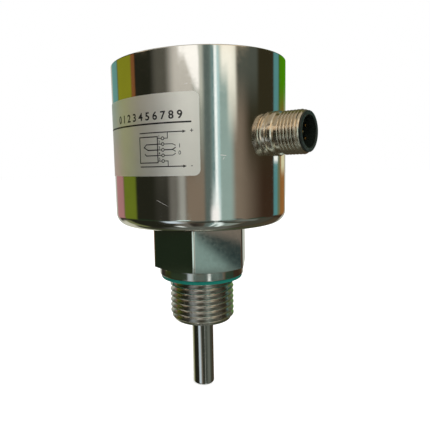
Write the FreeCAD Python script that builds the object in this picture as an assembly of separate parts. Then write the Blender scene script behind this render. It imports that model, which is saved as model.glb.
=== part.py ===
import FreeCAD, Part
import math
import os

# Compact thermal flow switch with a round steel housing, a hexagon process fitting,
# a probe that dips into the pipe and a five-pole cable connector on its side.
# Millimetres. +Z runs up the housing, Z = 0 is the lower face of the sealing ring,
# +X points out along the cable connector.

# Running, fitting and seating clearances
slip = 0.05
drill_gap = 0.10
seat_gap = 0.10
part_gap = 0.60

# Process fitting: pipe thread, collar and hexagon
thread_r = 10.4775
thread_length = 14.2
thread_chamfer = 1.2
thread_start = 0.4
neck_r = 9.6
collar_r = 13.7
collar_height = 2.5
hex_across_flats = 28.0
hex_corner_r = 15.95
hex_height = 14.4
hex_chamfer = 0.6
spigot_r = 11.0
spigot_over_floor = 0.8
fitting_bore_r = 4.8
fitting_web = 6.0

# Sealing ring under the collar
seal_outer_r = 13.25
seal_thickness = 1.2

# Probe: a closed tube with two sensing elements in a filling
probe_r = 3.5
probe_wall = 0.4
probe_tip_wall = 0.7
probe_tip_chamfer = 0.35
probe_reach = 22.8
probe_overlap = 2.0
element_width = 1.6
element_depth = 1.2
element_length = 4.0
element_offset = 1.0
element_spacing = 13.0
filling_above = 2.5
lead_r = 0.3
lead_pitch = 1.0

# Housing: a deep cup with a rounded bottom edge
body_r = 27.0
body_height = 48.5
body_wall = 1.5
body_floor = 2.0
body_fillet = 3.6
rim_chamfer = 0.3
rim_wall = 0.8
cover_depth = 4.0

# Cover, from the ledge upwards: faceplate, gasket, window, bezel
faceplate_thickness = 1.0
gasket_thickness = 0.5
gasket_width = 1.5
window_thickness = 1.5
bezel_wall = 2.15
bezel_top = 0.9
bezel_lip = 2.1
bezel_chamfer = 0.4

# Access plug over the setpoint screw, in a threaded bushing
plug_y = 7.0
plug_thread_r = 4.0
plug_pitch = 1.0
plug_turns = 4
plug_head_r = 5.3
plug_head_height = 1.7
plug_slot_width = 1.2
plug_slot_depth = 1.0
plug_chamfer = 0.35
bushing_wall = 1.5
bushing_flange_r = 7.0
bushing_flange = 0.7
nut_across_flats = 14.0
nut_height = 2.0
plug_ring_r = 0.5

# Cable connector: a threaded shell held by a flange behind the wall, with an insert,
# a sleeve and five pins
port_below_rim = 22.26
shell_body_r = 6.2
shell_tail = 4.0
shell_tail_r = 5.8
shell_flange_r = 7.2
shell_flange = 1.2
shell_stand = 0.1
shell_waist_r = 5.85
shell_waist = 0.6
ridge_width = 1.5
ridge_chamfer = 0.3
relief_r = 5.4
relief_width = 1.3
shell_thread_r = 6.0
shell_thread_length = 6.25
shell_chamfer = 0.6
shell_bore_r = 5.0
connector_ring_r = 0.3
o_ring_sides = 12
nose_r = 5.5
nose_stand = 0.65
socket_r = 4.3
socket_depth = 8.8
key_width = 1.0
key_height = 0.6
key_set_back = 1.2
pin_r = 0.5
pin_circle_r = 2.5
pin_reach = 7.0
pin_lead_in = 0.5
pin_tail = 2.0
wire_r = 0.45
wire_bend = 1.5
wire_step = 1.6
wire_first_drop = 2.0

# Rating label on the housing wall
label_top = 55.1
label_height = 21.6
label_first_angle = -157.0
label_sweep = 106.0
label_thickness = 0.1
label_corner = 1.6
label_bond = 0.02

# Circuit boards and their pillars
board_thickness = 1.6
board_edge_gap = 0.7
main_board_rise = 6.2
pillar_across_flats = 5.0
pillar_bore_r = 1.55
pillar_bore_depth = 5.0
pillar_first_angle = 90.0
screw_head_r = 2.6
screw_head_height = 1.6
screw_length = 6.0
screw_socket_r = 1.2
screw_socket_depth = 0.9

# Parts on the boards
capacitor_r = 4.0
capacitor_height = 11.5
capacitor_crimp = 0.35
inductor_r = 4.5
inductor_height = 6.0
inductor_flange = 1.1
inductor_waist = 0.9
regulator_width = 6.6
regulator_length = 6.1
regulator_height = 2.3
regulator_tab = 2.4
chip_side = 10.0
chip_height = 1.4
chip_leg_count = 11
chip_leg_pitch = 0.8
chip_leg_width = 0.35
chip_leg_reach = 1.0
chip_leg_thickness = 0.2
socket_width = 12.0
socket_thickness = 4.6
socket_height = 6.0
ribbon_width = 10.8
ribbon_thickness = 0.8
ribbon_grip = 3.0

# Indicator lamps on an arc
lamp_count = 6
lamp_arc_r = 11.0
lamp_first_angle = -140.0
lamp_step = 20.0
lamp_r = 1.5
lamp_flange_r = 1.8
lamp_flange = 0.8
lamp_body = 3.9
lamp_leg_r = 0.25
lamp_leg_pitch = 1.27
lamp_below_window = 0.7
lamp_dome_rings = 3

# Setpoint trimmer
trimmer_side = 7.0
trimmer_height = 4.6
rotor_r = 2.3
rotor_sink = 1.2
rotor_stand = 0.4
rotor_pivot_r = 1.0
rotor_pivot_length = 2.0
rotor_slot_width = 0.6
rotor_slot_depth = 0.5

# Relay
relay_width = 15.4
relay_height = 15.2
relay_wall = 0.7
relay_edge = 0.8
relay_end_gap = 0.5
relay_base_height = 1.6
relay_y = 0.8
coil_x = 0.9
core_r = 2.0
bobbin_wall = 0.6
bobbin_flange_r = 5.2
bobbin_flange = 0.7
coil_height = 8.4
coil_sink = 0.3
yoke_thickness = 1.2
yoke_width = 9.0
armature_thickness = 1.0
armature_overhang = 1.6
armature_gap = 0.6
armature_angle = 4.0
spring_thickness = 0.25
spring_width = 4.0
spring_foot = 4.0
contact_r = 0.9
contact_height = 1.0
contact_strip = 0.3
contact_strip_width = 4.0
contact_from_end = 2.0
terminal_r = 0.45
terminal_below = 2.0

# Levels and radii that follow from the sizes above
collar_bottom = seal_thickness
hex_bottom = collar_bottom + collar_height
body_bottom = hex_bottom + hex_height
floor_top = body_bottom + body_floor
body_top = body_bottom + body_height
inner_r = body_r - body_wall
cover_r = body_r - rim_wall
bezel_r = cover_r - slip
window_r = bezel_r - bezel_wall - drill_gap
ledge = body_top - cover_depth
port_z = body_top - port_below_rim
faceplate_top = ledge + faceplate_thickness
window_bottom = faceplate_top + gasket_thickness
window_top = window_bottom + window_thickness
thread_end = -thread_length
probe_tip = thread_end - probe_reach
probe_top = thread_end + fitting_web + probe_overlap
main_bottom = floor_top + main_board_rise
main_top = main_bottom + board_thickness
display_top = ledge - nut_height - part_gap - rotor_stand - trimmer_height
display_bottom = display_top - board_thickness
board_r = inner_r - board_edge_gap
pillar_corner_r = pillar_across_flats / math.sqrt(3)
pillar_circle_r = inner_r - (body_fillet - body_wall) - pillar_corner_r - 2 * part_gap
flange_top = window_top + bushing_flange
bushing_r = plug_thread_r + bushing_wall
port_r = shell_body_r + slip
flange_face = math.sqrt(inner_r ** 2 - shell_flange_r ** 2) - slip
shell_ring_level = (inner_r + math.sqrt(body_r ** 2 - port_r ** 2)) / 2
shell_ring_centre_r = shell_body_r - connector_ring_r
shell_face = body_r + shell_stand
ridge_start = shell_face + shell_waist
ridge_end = ridge_start + ridge_width
shell_thread_start = ridge_end + relief_width
shell_end = shell_thread_start + shell_thread_length
nose_end = shell_end + nose_stand
socket_floor = nose_end - socket_depth
pin_end = socket_floor + pin_reach
shell_back = inner_r - shell_tail
wire_start = shell_back - pin_tail
plug_ring_centre_r = plug_thread_r + slip + plug_ring_r
plug_head_bottom = window_top + 2 * (plug_ring_r + slip)
plug_shank = plug_turns * plug_pitch + plug_chamfer

Z = FreeCAD.Vector(0, 0, 1)
ORIGIN = FreeCAD.Vector(0, 0, 0)


# Shared shape helpers

def point(x, y, z):
    return FreeCAD.Vector(x, y, z)


def polar(radius, degrees):
    turn = math.radians(degrees)
    return radius * math.cos(turn), radius * math.sin(turn)


def rod(radius, z0, z1, x=0.0, y=0.0):
    return Part.makeCylinder(radius, z1 - z0, point(x, y, z0))


def ring(outer, inner, z0, z1, x=0.0, y=0.0):
    return rod(outer, z0, z1, x, y).cut(rod(inner, z0, z1, x, y))


def block(x0, x1, y0, y1, z0, z1):
    return Part.makeBox(x1 - x0, y1 - y0, z1 - z0, point(x0, y0, z0))


def upright_block(side_x, side_y, z0, z1, x=0.0, y=0.0):
    return block(x - side_x / 2, x + side_x / 2, y - side_y / 2, y + side_y / 2, z0, z1)


def line(r0, z0, r1, z1):
    return Part.makeLine(point(r0, 0, z0), point(r1, 0, z1))


def quarter(centre_r, centre_z, radius, middle_degrees):
    """Quarter circle in the XZ plane, centred on the given middle direction."""
    ends = []
    for step in (-45, 0, 45):
        across, up = polar(radius, middle_degrees + step)
        ends.append(point(centre_r + across, 0, centre_z + up))
    return Part.Arc(*ends).toShape()


def turned_edges(edges):
    """Solid turned about Z from the edges of a closed half section."""
    wire = Part.Wire(Part.__sortEdges__(edges))
    return Part.Face(wire).revolve(ORIGIN, Z, 360)


def turned(corners):
    """Solid turned about Z from the (radius, height) corners of a half section."""
    closed = [point(r, 0, z) for r, z in corners + corners[:1]]
    return Part.Face(Part.makePolygon(closed)).revolve(ORIGIN, Z, 360)


def hexagon(across_flats, z0, z1, x=0.0, y=0.0, first_angle=0.0):
    corner = across_flats / math.sqrt(3)
    corners = [polar(corner, first_angle + 60 * i) for i in range(7)]
    outline = Part.makePolygon([point(x + a, y + b, z0) for a, b in corners])
    return Part.Face(outline).extrude(point(0, 0, z1 - z0))


def o_ring(centre_r, section_r, z):
    """Ring turned from a many-sided section whose corners lie on the cord's surface."""
    corners = []
    for i in range(o_ring_sides):
        out, up = polar(section_r, 360 * (i + 0.5) / o_ring_sides)
        corners.append((centre_r + out, z + up))
    return turned(corners)


def group(solids):
    return Part.makeCompound(solids)


def to_port(shape):
    """Turns a piece built about Z so that it lies along the connector's axis."""
    placed = shape.copy()
    placed.rotate(ORIGIN, point(0, 1, 0), 90)
    placed.translate(point(0, 0, port_z))
    return placed


# Housing, fitting and seal

def housing_cup():
    inner_corner = body_fillet - body_wall
    outer_bend = body_r - body_fillet
    hole_r = spigot_r + slip
    section = [
        line(hole_r, body_bottom, outer_bend, body_bottom),
        quarter(outer_bend, body_bottom + body_fillet, body_fillet, -45),
        line(body_r, body_bottom + body_fillet, body_r, body_top - rim_chamfer),
        line(body_r, body_top - rim_chamfer, body_r - rim_chamfer, body_top),
        line(body_r - rim_chamfer, body_top, cover_r, body_top),
        line(cover_r, body_top, cover_r, ledge),
        line(cover_r, ledge, inner_r, ledge),
        line(inner_r, ledge, inner_r, floor_top + inner_corner),
        line(inner_r, floor_top + inner_corner, inner_r - inner_corner, floor_top),
        line(inner_r - inner_corner, floor_top, hole_r, floor_top),
        line(hole_r, floor_top, hole_r, body_bottom),
    ]
    port = to_port(rod(port_r, inner_r / 2, 2 * body_r))
    return turned_edges(section).cut(port)


def hex_blank():
    """Hexagon whose corners are turned down, with a turned chamfer on its lower end."""
    flat_r = hex_across_flats / 2
    limit = turned([
        (0, hex_bottom), (flat_r, hex_bottom), (hex_corner_r, hex_bottom + hex_chamfer),
        (hex_corner_r, body_bottom), (0, body_bottom),
    ])
    return hexagon(hex_across_flats, hex_bottom, body_bottom).common(limit)


def process_fitting():
    spigot_top = floor_top + spigot_over_floor
    web_top = thread_end + fitting_web
    lower = turned([
        (probe_r, thread_end), (thread_r - thread_chamfer, thread_end),
        (thread_r, thread_end + thread_chamfer), (thread_r, -thread_start),
        (neck_r, 0), (neck_r, collar_bottom), (collar_r, collar_bottom),
        (collar_r, hex_bottom), (fitting_bore_r, hex_bottom),
        (fitting_bore_r, web_top), (probe_r, web_top),
    ])
    middle = hex_blank().cut(rod(fitting_bore_r, hex_bottom, body_bottom))
    spigot = ring(spigot_r, fitting_bore_r, body_bottom, spigot_top)
    return lower.fuse(middle).fuse(spigot).removeSplitter()


def sealing_ring():
    return ring(seal_outer_r, thread_r + drill_gap, 0, seal_thickness)


# Probe

def element_levels():
    heated = probe_tip + probe_tip_wall + seat_gap
    return heated, heated + element_spacing


def sensing_element(side, bottom):
    return upright_block(element_width, element_depth, bottom, bottom + element_length,
                         0, side * element_offset)


def heated_element():
    return sensing_element(-1, element_levels()[0])


def reference_element():
    return sensing_element(1, element_levels()[1])


def lead_places():
    """Centre and lower end of each lead, two for each sensing element."""
    heated, reference = element_levels()
    return [(end * lead_pitch / 2, side * element_offset, bottom + element_length)
            for side, bottom in ((-1, heated), (1, reference)) for end in (-1, 1)]


def sensor_leads():
    return group([rod(lead_r, z, main_top - seat_gap, x, y) for x, y, z in lead_places()])


def probe_sheath():
    hollow_r = probe_r - probe_wall
    return turned([
        (0, probe_tip), (probe_r - probe_tip_chamfer, probe_tip),
        (probe_r, probe_tip + probe_tip_chamfer), (probe_r, probe_top),
        (hollow_r, probe_top), (hollow_r, probe_tip + probe_tip_wall),
        (0, probe_tip + probe_tip_wall),
    ])


def probe_filling():
    top = element_levels()[1] + element_length + filling_above
    plug = rod(probe_r - probe_wall, probe_tip + probe_tip_wall, top)
    return plug.cut(heated_element()).cut(reference_element()).cut(sensor_leads())


# Cover

def lamp_places():
    return [polar(lamp_arc_r, lamp_first_angle + lamp_step * i) for i in range(lamp_count)]


def faceplate():
    plate = rod(bezel_r, ledge, faceplate_top)
    plate = plate.cut(rod(bushing_r + drill_gap, ledge, faceplate_top, 0, plug_y))
    for x, y in lamp_places():
        plate = plate.cut(rod(lamp_r + drill_gap, ledge, faceplate_top, x, y))
    return plate


def window_gasket():
    return ring(window_r, window_r - gasket_width, faceplate_top, window_bottom)


def window_disc():
    disc = rod(window_r, window_bottom, window_top)
    return disc.cut(rod(bushing_r + drill_gap, window_bottom, window_top, 0, plug_y))


def bezel_ring():
    recess = window_r + drill_gap
    opening = window_r - bezel_lip
    top = window_top + bezel_top
    return turned([
        (recess, faceplate_top), (bezel_r, faceplate_top), (bezel_r, top),
        (opening + bezel_chamfer, top), (opening, top - bezel_chamfer),
        (opening, window_top), (recess, window_top),
    ])


def placed_on_plug_axis(shape):
    shape.translate(point(0, plug_y, 0))
    return shape


def plug_bushing():
    """Threaded bushing through window and faceplate, with a seat for the O-ring."""
    bottom = ledge - nut_height
    seat_r = plug_ring_centre_r + plug_ring_r + slip
    return placed_on_plug_axis(turned([
        (plug_thread_r, bottom), (bushing_r, bottom), (bushing_r, window_top),
        (bushing_flange_r, window_top), (bushing_flange_r, flange_top - plug_chamfer),
        (bushing_flange_r - plug_chamfer, flange_top), (seat_r, flange_top),
        (seat_r, window_top), (plug_thread_r, window_top),
    ]))


def bushing_nut():
    blank = hexagon(nut_across_flats, ledge - nut_height, ledge, 0, plug_y)
    return blank.cut(rod(bushing_r + slip, ledge - nut_height, ledge, 0, plug_y))


def access_plug():
    head_bottom = plug_head_bottom
    head_top = head_bottom + plug_head_height
    shank_r = plug_thread_r - slip
    plug = turned([
        (0, head_bottom - plug_shank), (shank_r - plug_chamfer, head_bottom - plug_shank),
        (shank_r, head_bottom - plug_shank + plug_chamfer), (shank_r, head_bottom),
        (plug_head_r, head_bottom), (plug_head_r, head_top - plug_chamfer),
        (plug_head_r - plug_chamfer, head_top), (0, head_top),
    ])
    slot = upright_block(2 * plug_head_r + slip, plug_slot_width,
                         head_top - plug_slot_depth, head_top + slip)
    return placed_on_plug_axis(plug.cut(slot))


def plug_oring():
    level = window_top + plug_ring_r + slip
    return placed_on_plug_axis(o_ring(plug_ring_centre_r, plug_ring_r, level))


# Cable connector

def connector_shell():
    """Shell with a flange inside the wall, a ring groove in it and a ridge before the thread."""
    back = shell_back
    flange_back = flange_face - shell_flange
    groove_r = shell_ring_centre_r - connector_ring_r - slip
    groove_half = connector_ring_r + slip
    return to_port(turned([
        (shell_bore_r, back), (shell_tail_r, back), (shell_tail_r, flange_back),
        (shell_flange_r, flange_back), (shell_flange_r, flange_face),
        (shell_body_r, flange_face), (shell_body_r, shell_ring_level - groove_half),
        (groove_r, shell_ring_level - groove_half), (groove_r, shell_ring_level + groove_half),
        (shell_body_r, shell_ring_level + groove_half), (shell_body_r, shell_face),
        (shell_waist_r, shell_face), (shell_waist_r, ridge_start),
        (shell_body_r - ridge_chamfer, ridge_start), (shell_body_r, ridge_start + ridge_chamfer),
        (shell_body_r, ridge_end - ridge_chamfer), (shell_body_r - ridge_chamfer, ridge_end),
        (relief_r, ridge_end), (relief_r, shell_thread_start),
        (shell_thread_r, shell_thread_start), (shell_thread_r, shell_end - shell_chamfer),
        (shell_thread_r - shell_chamfer, shell_end), (shell_bore_r, shell_end),
    ]))


def pin_places():
    """Four pins on a circle and one at its centre, seen along the connector."""
    return [polar(pin_circle_r, 45 + 90 * i) for i in range(4)] + [(0.0, 0.0)]


def connector_insert():
    """Contact carrier at the bottom of the socket, bored for the pins."""
    insert = rod(shell_bore_r - slip, shell_back, socket_floor)
    for x, y in pin_places():
        insert = insert.cut(rod(pin_r, shell_back, socket_floor, x, y))
    return to_port(insert)


def connector_nose():
    """Sleeve round the pins, with the coding key inside and a rim over the shell's end."""
    sleeve_r = shell_bore_r - slip
    rim = shell_end + slip
    sleeve = turned([
        (socket_r, socket_floor), (sleeve_r, socket_floor), (sleeve_r, rim),
        (nose_r, rim), (nose_r, nose_end), (socket_r, nose_end),
    ])
    key = block(-socket_r - slip, key_height - socket_r, -key_width / 2, key_width / 2,
                socket_floor, nose_end - key_set_back)
    return to_port(sleeve.fuse(key))


def connector_pins():
    pins = []
    for x, y in pin_places():
        pin = turned([
            (0, wire_start), (pin_r, wire_start), (pin_r, pin_end - pin_lead_in),
            (pin_r - pin_lead_in / 2, pin_end), (0, pin_end),
        ])
        pin.translate(point(x, y, 0))
        pins.append(pin)
    return to_port(group(pins))


def connector_oring():
    """Ring that seals the shell in the wall, where the round wall is whole all round it."""
    return to_port(o_ring(shell_ring_centre_r, connector_ring_r, shell_ring_level))


def wire_between(x0, y, z0, drop_x, z1):
    """Wire that leaves its pin inwards, turns down in one elbow and ends on the board."""
    run_end = drop_x + wire_bend
    run = Part.makeCylinder(wire_r, x0 - run_end, point(run_end, y, z0), point(1, 0, 0))
    drop = rod(wire_r, z1, z0 - wire_bend, drop_x, y)
    mouth = Part.Face(Part.Wire(Part.makeCircle(wire_r, point(run_end, y, z0), point(1, 0, 0))))
    elbow = mouth.revolve(point(run_end, y, z0 - wire_bend), point(0, 1, 0), -90)
    return run.fuse(elbow).fuse(drop).removeSplitter()


def connector_wires():
    """Five wires, the upper ones dropping further in so that none cross."""
    wires = []
    for x, y in pin_places():
        step_in = wire_step if x < -pin_r else 0.0
        drop_x = wire_start - wire_first_drop - step_in
        wires.append(wire_between(wire_start, y, port_z - x, drop_x, main_top))
    return group(wires)


# Label

def label_foil():
    inner = body_r + label_bond
    bottom = label_top - label_height
    section = Part.makePolygon([
        point(inner, 0, bottom), point(inner + label_thickness, 0, bottom),
        point(inner + label_thickness, 0, label_top), point(inner, 0, label_top),
        point(inner, 0, bottom),
    ])
    foil = Part.Face(section).revolve(ORIGIN, Z, label_sweep)
    corners = [edge for edge in foil.Edges if edge.Length < 2 * label_thickness]
    foil = foil.makeFillet(label_corner, corners)
    foil.rotate(ORIGIN, Z, label_first_angle)
    return foil


# Boards and pillars

def pillar_places():
    return [polar(pillar_circle_r, pillar_first_angle + 120 * i) for i in range(3)]


def drilled_board(bottom, holes):
    board = rod(board_r, bottom, bottom + board_thickness)
    for x, y, radius in holes:
        board = board.cut(rod(radius + drill_gap, bottom, bottom + board_thickness, x, y))
    return board


def main_board():
    holes = [(x, y, screw_shank_r()) for x, y in pillar_places()]
    holes += [(x, y, lead_r) for x, y, _ in lead_places()]
    holes += [(x, y, terminal_r) for x, y in terminal_places()]
    return drilled_board(main_bottom, holes)


def display_board():
    return drilled_board(display_bottom, [(x, y, screw_shank_r()) for x, y in pillar_places()])


def screw_shank_r():
    return pillar_bore_r - slip


def lower_pillar(x, y):
    pillar = hexagon(pillar_across_flats, floor_top, main_bottom, x, y)
    return pillar.cut(rod(pillar_bore_r, main_bottom - pillar_bore_depth, main_bottom, x, y))


def upper_pillar(x, y):
    pillar = hexagon(pillar_across_flats, main_top, display_bottom, x, y)
    stud_end = main_bottom - pillar_bore_depth + seat_gap
    stud = rod(screw_shank_r(), stud_end, main_top, x, y)
    bore_bottom = display_bottom - pillar_bore_depth
    return pillar.fuse(stud).cut(rod(pillar_bore_r, bore_bottom, display_bottom, x, y))


def board_screw(x, y):
    head_top = display_top + screw_head_height
    head = rod(screw_head_r, display_top, head_top, x, y)
    shank = rod(screw_shank_r(), head_top - screw_length, display_top, x, y)
    socket = rod(screw_socket_r, head_top - screw_socket_depth, head_top, x, y)
    return head.fuse(shank).cut(socket)


def lower_standoffs():
    return group([lower_pillar(x, y) for x, y in pillar_places()])


def upper_standoffs():
    return group([upper_pillar(x, y) for x, y in pillar_places()])


def board_screws():
    return group([board_screw(x, y) for x, y in pillar_places()])


# Parts on the boards

def relay_left():
    return min(x for x, _ in pillar_places()) + pillar_corner_r + part_gap / 4


def relay_centre():
    return relay_left() + relay_length / 2, relay_y


def capacitor(x, y):
    crimp_z = main_top + capacitor_height / 6
    top = main_top + capacitor_height
    can = turned([
        (0, main_top), (capacitor_r, main_top), (capacitor_r, crimp_z),
        (capacitor_r - capacitor_crimp, crimp_z + capacitor_crimp),
        (capacitor_r, crimp_z + 2 * capacitor_crimp), (capacitor_r, top - capacitor_crimp),
        (capacitor_r - capacitor_crimp, top), (0, top),
    ])
    can.translate(point(x, y, 0))
    return can


def supply_capacitors():
    y = relay_y + relay_width / 2 + part_gap + capacitor_r
    x = pillar_corner_r + part_gap + capacitor_r
    return group([capacitor(-x, y), capacitor(x, y)])


def inductor_place():
    return relay_left() + inductor_r, relay_y - relay_width / 2 - part_gap - inductor_r


def supply_inductor():
    x, y = inductor_place()
    top = main_top + inductor_height
    waist_r = inductor_r - inductor_waist
    drum = turned([
        (0, main_top), (inductor_r, main_top), (inductor_r, main_top + inductor_flange),
        (waist_r, main_top + inductor_flange), (waist_r, top - inductor_flange),
        (inductor_r, top - inductor_flange), (inductor_r, top), (0, top),
    ])
    drum.translate(point(x, y, 0))
    return drum


def voltage_regulator():
    """Flat power package with its cooling tab towards the board's edge."""
    x, y = inductor_place()
    x0 = x + inductor_r + part_gap
    y0 = y - regulator_length / 2
    body = block(x0, x0 + regulator_width, y0, y0 + regulator_length,
                 main_top, main_top + regulator_height)
    inset = regulator_width / 8
    tab = block(x0 + inset, x0 + regulator_width - inset, y0 - regulator_tab / 2, y0,
                main_top, main_top + regulator_height / 4)
    return body.fuse(tab)


def controller_chip():
    """Square controller under the display board with a row of legs on each side."""
    top = display_bottom - seat_gap
    body = upright_block(chip_side, chip_side, top - chip_height, top)
    legs = []
    row = (chip_leg_count - 1) * chip_leg_pitch / 2
    for i in range(chip_leg_count):
        place = i * chip_leg_pitch - row
        reach = chip_side + 2 * chip_leg_reach
        z0 = display_bottom - chip_leg_thickness
        legs.append(upright_block(reach, chip_leg_width, z0, display_bottom, 0, place))
        legs.append(upright_block(chip_leg_width, reach, z0, display_bottom, place, 0))
    return body.multiFuse(legs).removeSplitter()


def ribbon_place():
    x = relay_left() - part_gap - socket_thickness / 2 - pillar_corner_r / 2
    return x, relay_y + part_gap


def ribbon_socket(z0, z1, slot0, slot1):
    x, y = ribbon_place()
    body = upright_block(socket_thickness, socket_width, z0, z1, x, y)
    slot = upright_block(ribbon_thickness + 2 * seat_gap, ribbon_width + 2 * seat_gap,
                         slot0, slot1, x, y)
    return body.cut(slot)


def ribbon_sockets():
    lower_top = main_top + socket_height
    upper_bottom = display_bottom - socket_height
    depth = ribbon_grip + seat_gap
    return group([
        ribbon_socket(main_top, lower_top, lower_top - depth, lower_top),
        ribbon_socket(upper_bottom, display_bottom, upper_bottom, upper_bottom + depth),
    ])


def ribbon_cable():
    x, y = ribbon_place()
    return upright_block(ribbon_thickness, ribbon_width,
                         main_top + socket_height - ribbon_grip,
                         display_bottom - socket_height + ribbon_grip, x, y)


def lamp(index):
    """Domed lamp with a flange, standing on two legs."""
    x, y = lamp_places()[index]
    dome_top = window_bottom - lamp_below_window
    dome_start = dome_top - lamp_r
    flange_bottom = dome_start - lamp_body
    dome = []
    for i in range(lamp_dome_rings):
        out, up = polar(lamp_r, 90 * i / lamp_dome_rings)
        dome.append((out, dome_start + up))
    body = turned([
        (0, flange_bottom), (lamp_flange_r, flange_bottom),
        (lamp_flange_r, flange_bottom + lamp_flange), (lamp_r, flange_bottom + lamp_flange),
        *dome, (0, dome_top),
    ])
    for side in (-1, 1):
        leg_x = side * lamp_leg_pitch / 2
        body = body.fuse(rod(lamp_leg_r, display_top, flange_bottom, leg_x, 0))
    body.translate(point(x, y, 0))
    return body


def lamps(indices):
    return group([lamp(i) for i in indices])


def trimmer_body():
    top = display_top + trimmer_height
    body = upright_block(trimmer_side, trimmer_side, display_top, top, 0, plug_y)
    sink = rod(rotor_r + slip, top - rotor_sink, top, 0, plug_y)
    pivot_bottom = top - rotor_sink - rotor_pivot_length
    return body.cut(sink).cut(rod(rotor_pivot_r + slip, pivot_bottom, top, 0, plug_y))


def trimmer_rotor():
    top = display_top + trimmer_height + rotor_stand
    bottom = display_top + trimmer_height - rotor_sink + seat_gap
    disc = rod(rotor_r, bottom, top, 0, plug_y)
    pivot = rod(rotor_pivot_r, bottom - rotor_pivot_length + seat_gap, bottom, 0, plug_y)
    slot = upright_block(2 * rotor_r + slip, rotor_slot_width, top - rotor_slot_depth,
                         top + slip, 0, plug_y)
    return disc.fuse(pivot).cut(slot)


# Relay, built about its own centre on the board

def at_relay(shape):
    x, y = relay_centre()
    shape.translate(point(x, y, main_top))
    return shape


yoke_top_of_foot = relay_base_height + yoke_thickness
coil_top = yoke_top_of_foot + coil_height
core_top = coil_top + seat_gap
armature_bottom = core_top + armature_gap
yoke_inside = coil_x + bobbin_flange_r + 3 * seat_gap
yoke_outside = yoke_inside + yoke_thickness
pivot_x = yoke_inside + yoke_thickness / 2
pivot_z = armature_bottom - slip - yoke_thickness / 2
inside_half = yoke_outside + relay_end_gap
relay_length = 2 * (inside_half + relay_wall)
contact_x = contact_from_end - inside_half
leaf_bottom = armature_bottom + armature_thickness
contact_bottom = leaf_bottom - contact_height / 2
contact_top = leaf_bottom + 2 * spring_thickness
contact_travel = (pivot_x - contact_x) * math.sin(math.radians(armature_angle))


def relay_cover():
    outer = upright_block(relay_length, relay_width, 0, relay_height)
    tall = [e for e in outer.Edges if abs(e.Length - relay_height) < slip]
    outer = outer.makeFillet(relay_edge, tall)
    hollow = upright_block(relay_length - 2 * relay_wall, relay_width - 2 * relay_wall,
                           0, relay_height - relay_wall)
    return at_relay(outer.cut(hollow))


def terminal_offsets():
    """Coil pair beside the yoke, common at the middle, changeover pair at the far end."""
    across = yoke_width / 2
    return [(yoke_outside - terminal_r, across), (yoke_outside - terminal_r, -across),
            (coil_x - bobbin_flange_r, across), (contact_x, across), (contact_x, -across)]


def terminal_places():
    x0, y0 = relay_centre()
    return [(x0 + x, y0 + y) for x, y in terminal_offsets()]


def relay_base():
    fit = 2 * (relay_wall + seat_gap)
    base = upright_block(relay_length - fit, relay_width - fit, 0, relay_base_height)
    for x, y in terminal_offsets():
        base = base.cut(rod(terminal_r + slip, 0, relay_base_height, x, y))
    return at_relay(base)


def relay_terminals():
    bottom = -board_thickness - terminal_below
    top = relay_base_height + terminal_r
    pins = [rod(terminal_r, bottom, top, x, y) for x, y in terminal_offsets()]
    return at_relay(group(pins))


def relay_yoke():
    """Angled iron yoke with the coil's core on its foot and a round edge as bearing."""
    half = yoke_width / 2 - 2 * terminal_r
    foot = block(coil_x - core_r - yoke_thickness, yoke_outside, -half, half,
                 relay_base_height, yoke_top_of_foot)
    back = block(yoke_inside, yoke_outside, -half, half, relay_base_height, pivot_z)
    edge = Part.makeCylinder(yoke_thickness / 2, 2 * half, point(pivot_x, -half, pivot_z),
                             point(0, 1, 0))
    core = rod(core_r, yoke_top_of_foot, core_top, coil_x, 0)
    return at_relay(foot.fuse(back).fuse(edge).fuse(core))


def relay_bobbin():
    tube_r = core_r + slip + bobbin_wall
    z0, z1 = yoke_top_of_foot, coil_top
    spool = turned([
        (core_r + slip, z0), (bobbin_flange_r, z0), (bobbin_flange_r, z0 + bobbin_flange),
        (tube_r, z0 + bobbin_flange), (tube_r, z1 - bobbin_flange),
        (bobbin_flange_r, z1 - bobbin_flange), (bobbin_flange_r, z1), (core_r + slip, z1),
    ])
    spool.translate(point(coil_x, 0, 0))
    return at_relay(spool)


def relay_coil():
    z0 = yoke_top_of_foot + bobbin_flange
    z1 = coil_top - bobbin_flange
    tube_r = core_r + slip + bobbin_wall
    return at_relay(ring(bobbin_flange_r - coil_sink, tube_r, z0, z1, coil_x, 0))


def relay_armature():
    half = yoke_width / 2 - 2 * terminal_r
    left = coil_x - core_r - armature_overhang
    return at_relay(block(left, yoke_outside, -half, half, armature_bottom,
                          armature_bottom + armature_thickness))


def relay_contact_spring():
    """Leaf riveted to the armature, with the moving contact at its free end."""
    half = spring_width / 2
    leaf = block(contact_x - contact_r, coil_x + spring_foot / 2, -half, half,
                 leaf_bottom, leaf_bottom + spring_thickness)
    contact = rod(contact_r, contact_bottom, contact_top, contact_x, 0)
    return at_relay(leaf.fuse(contact))


def angle_contact(wall_x, level):
    """Upright strip on the base whose bent tongue reaches over the contact's place."""
    half = contact_strip_width / 2
    post = block(wall_x, wall_x + contact_strip, -half, half, relay_base_height,
                 level + contact_strip)
    tongue = block(wall_x, contact_x + contact_r, -half, half, level, level + contact_strip)
    return post.fuse(tongue)


def relay_fixed_contacts():
    upper = contact_top + seat_gap
    lower = contact_bottom - contact_travel - 2 * seat_gap - contact_strip
    outer_x = -inside_half + seat_gap
    inner_x = outer_x + contact_strip + 3 * seat_gap
    return at_relay(group([angle_contact(outer_x, upper), angle_contact(inner_x, lower)]))


def lamp_red():
    return lamps(range(0, 1))


def lamp_yellow():
    return lamps(range(1, 2))


def lamp_green():
    return lamps(range(2, lamp_count))


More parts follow.
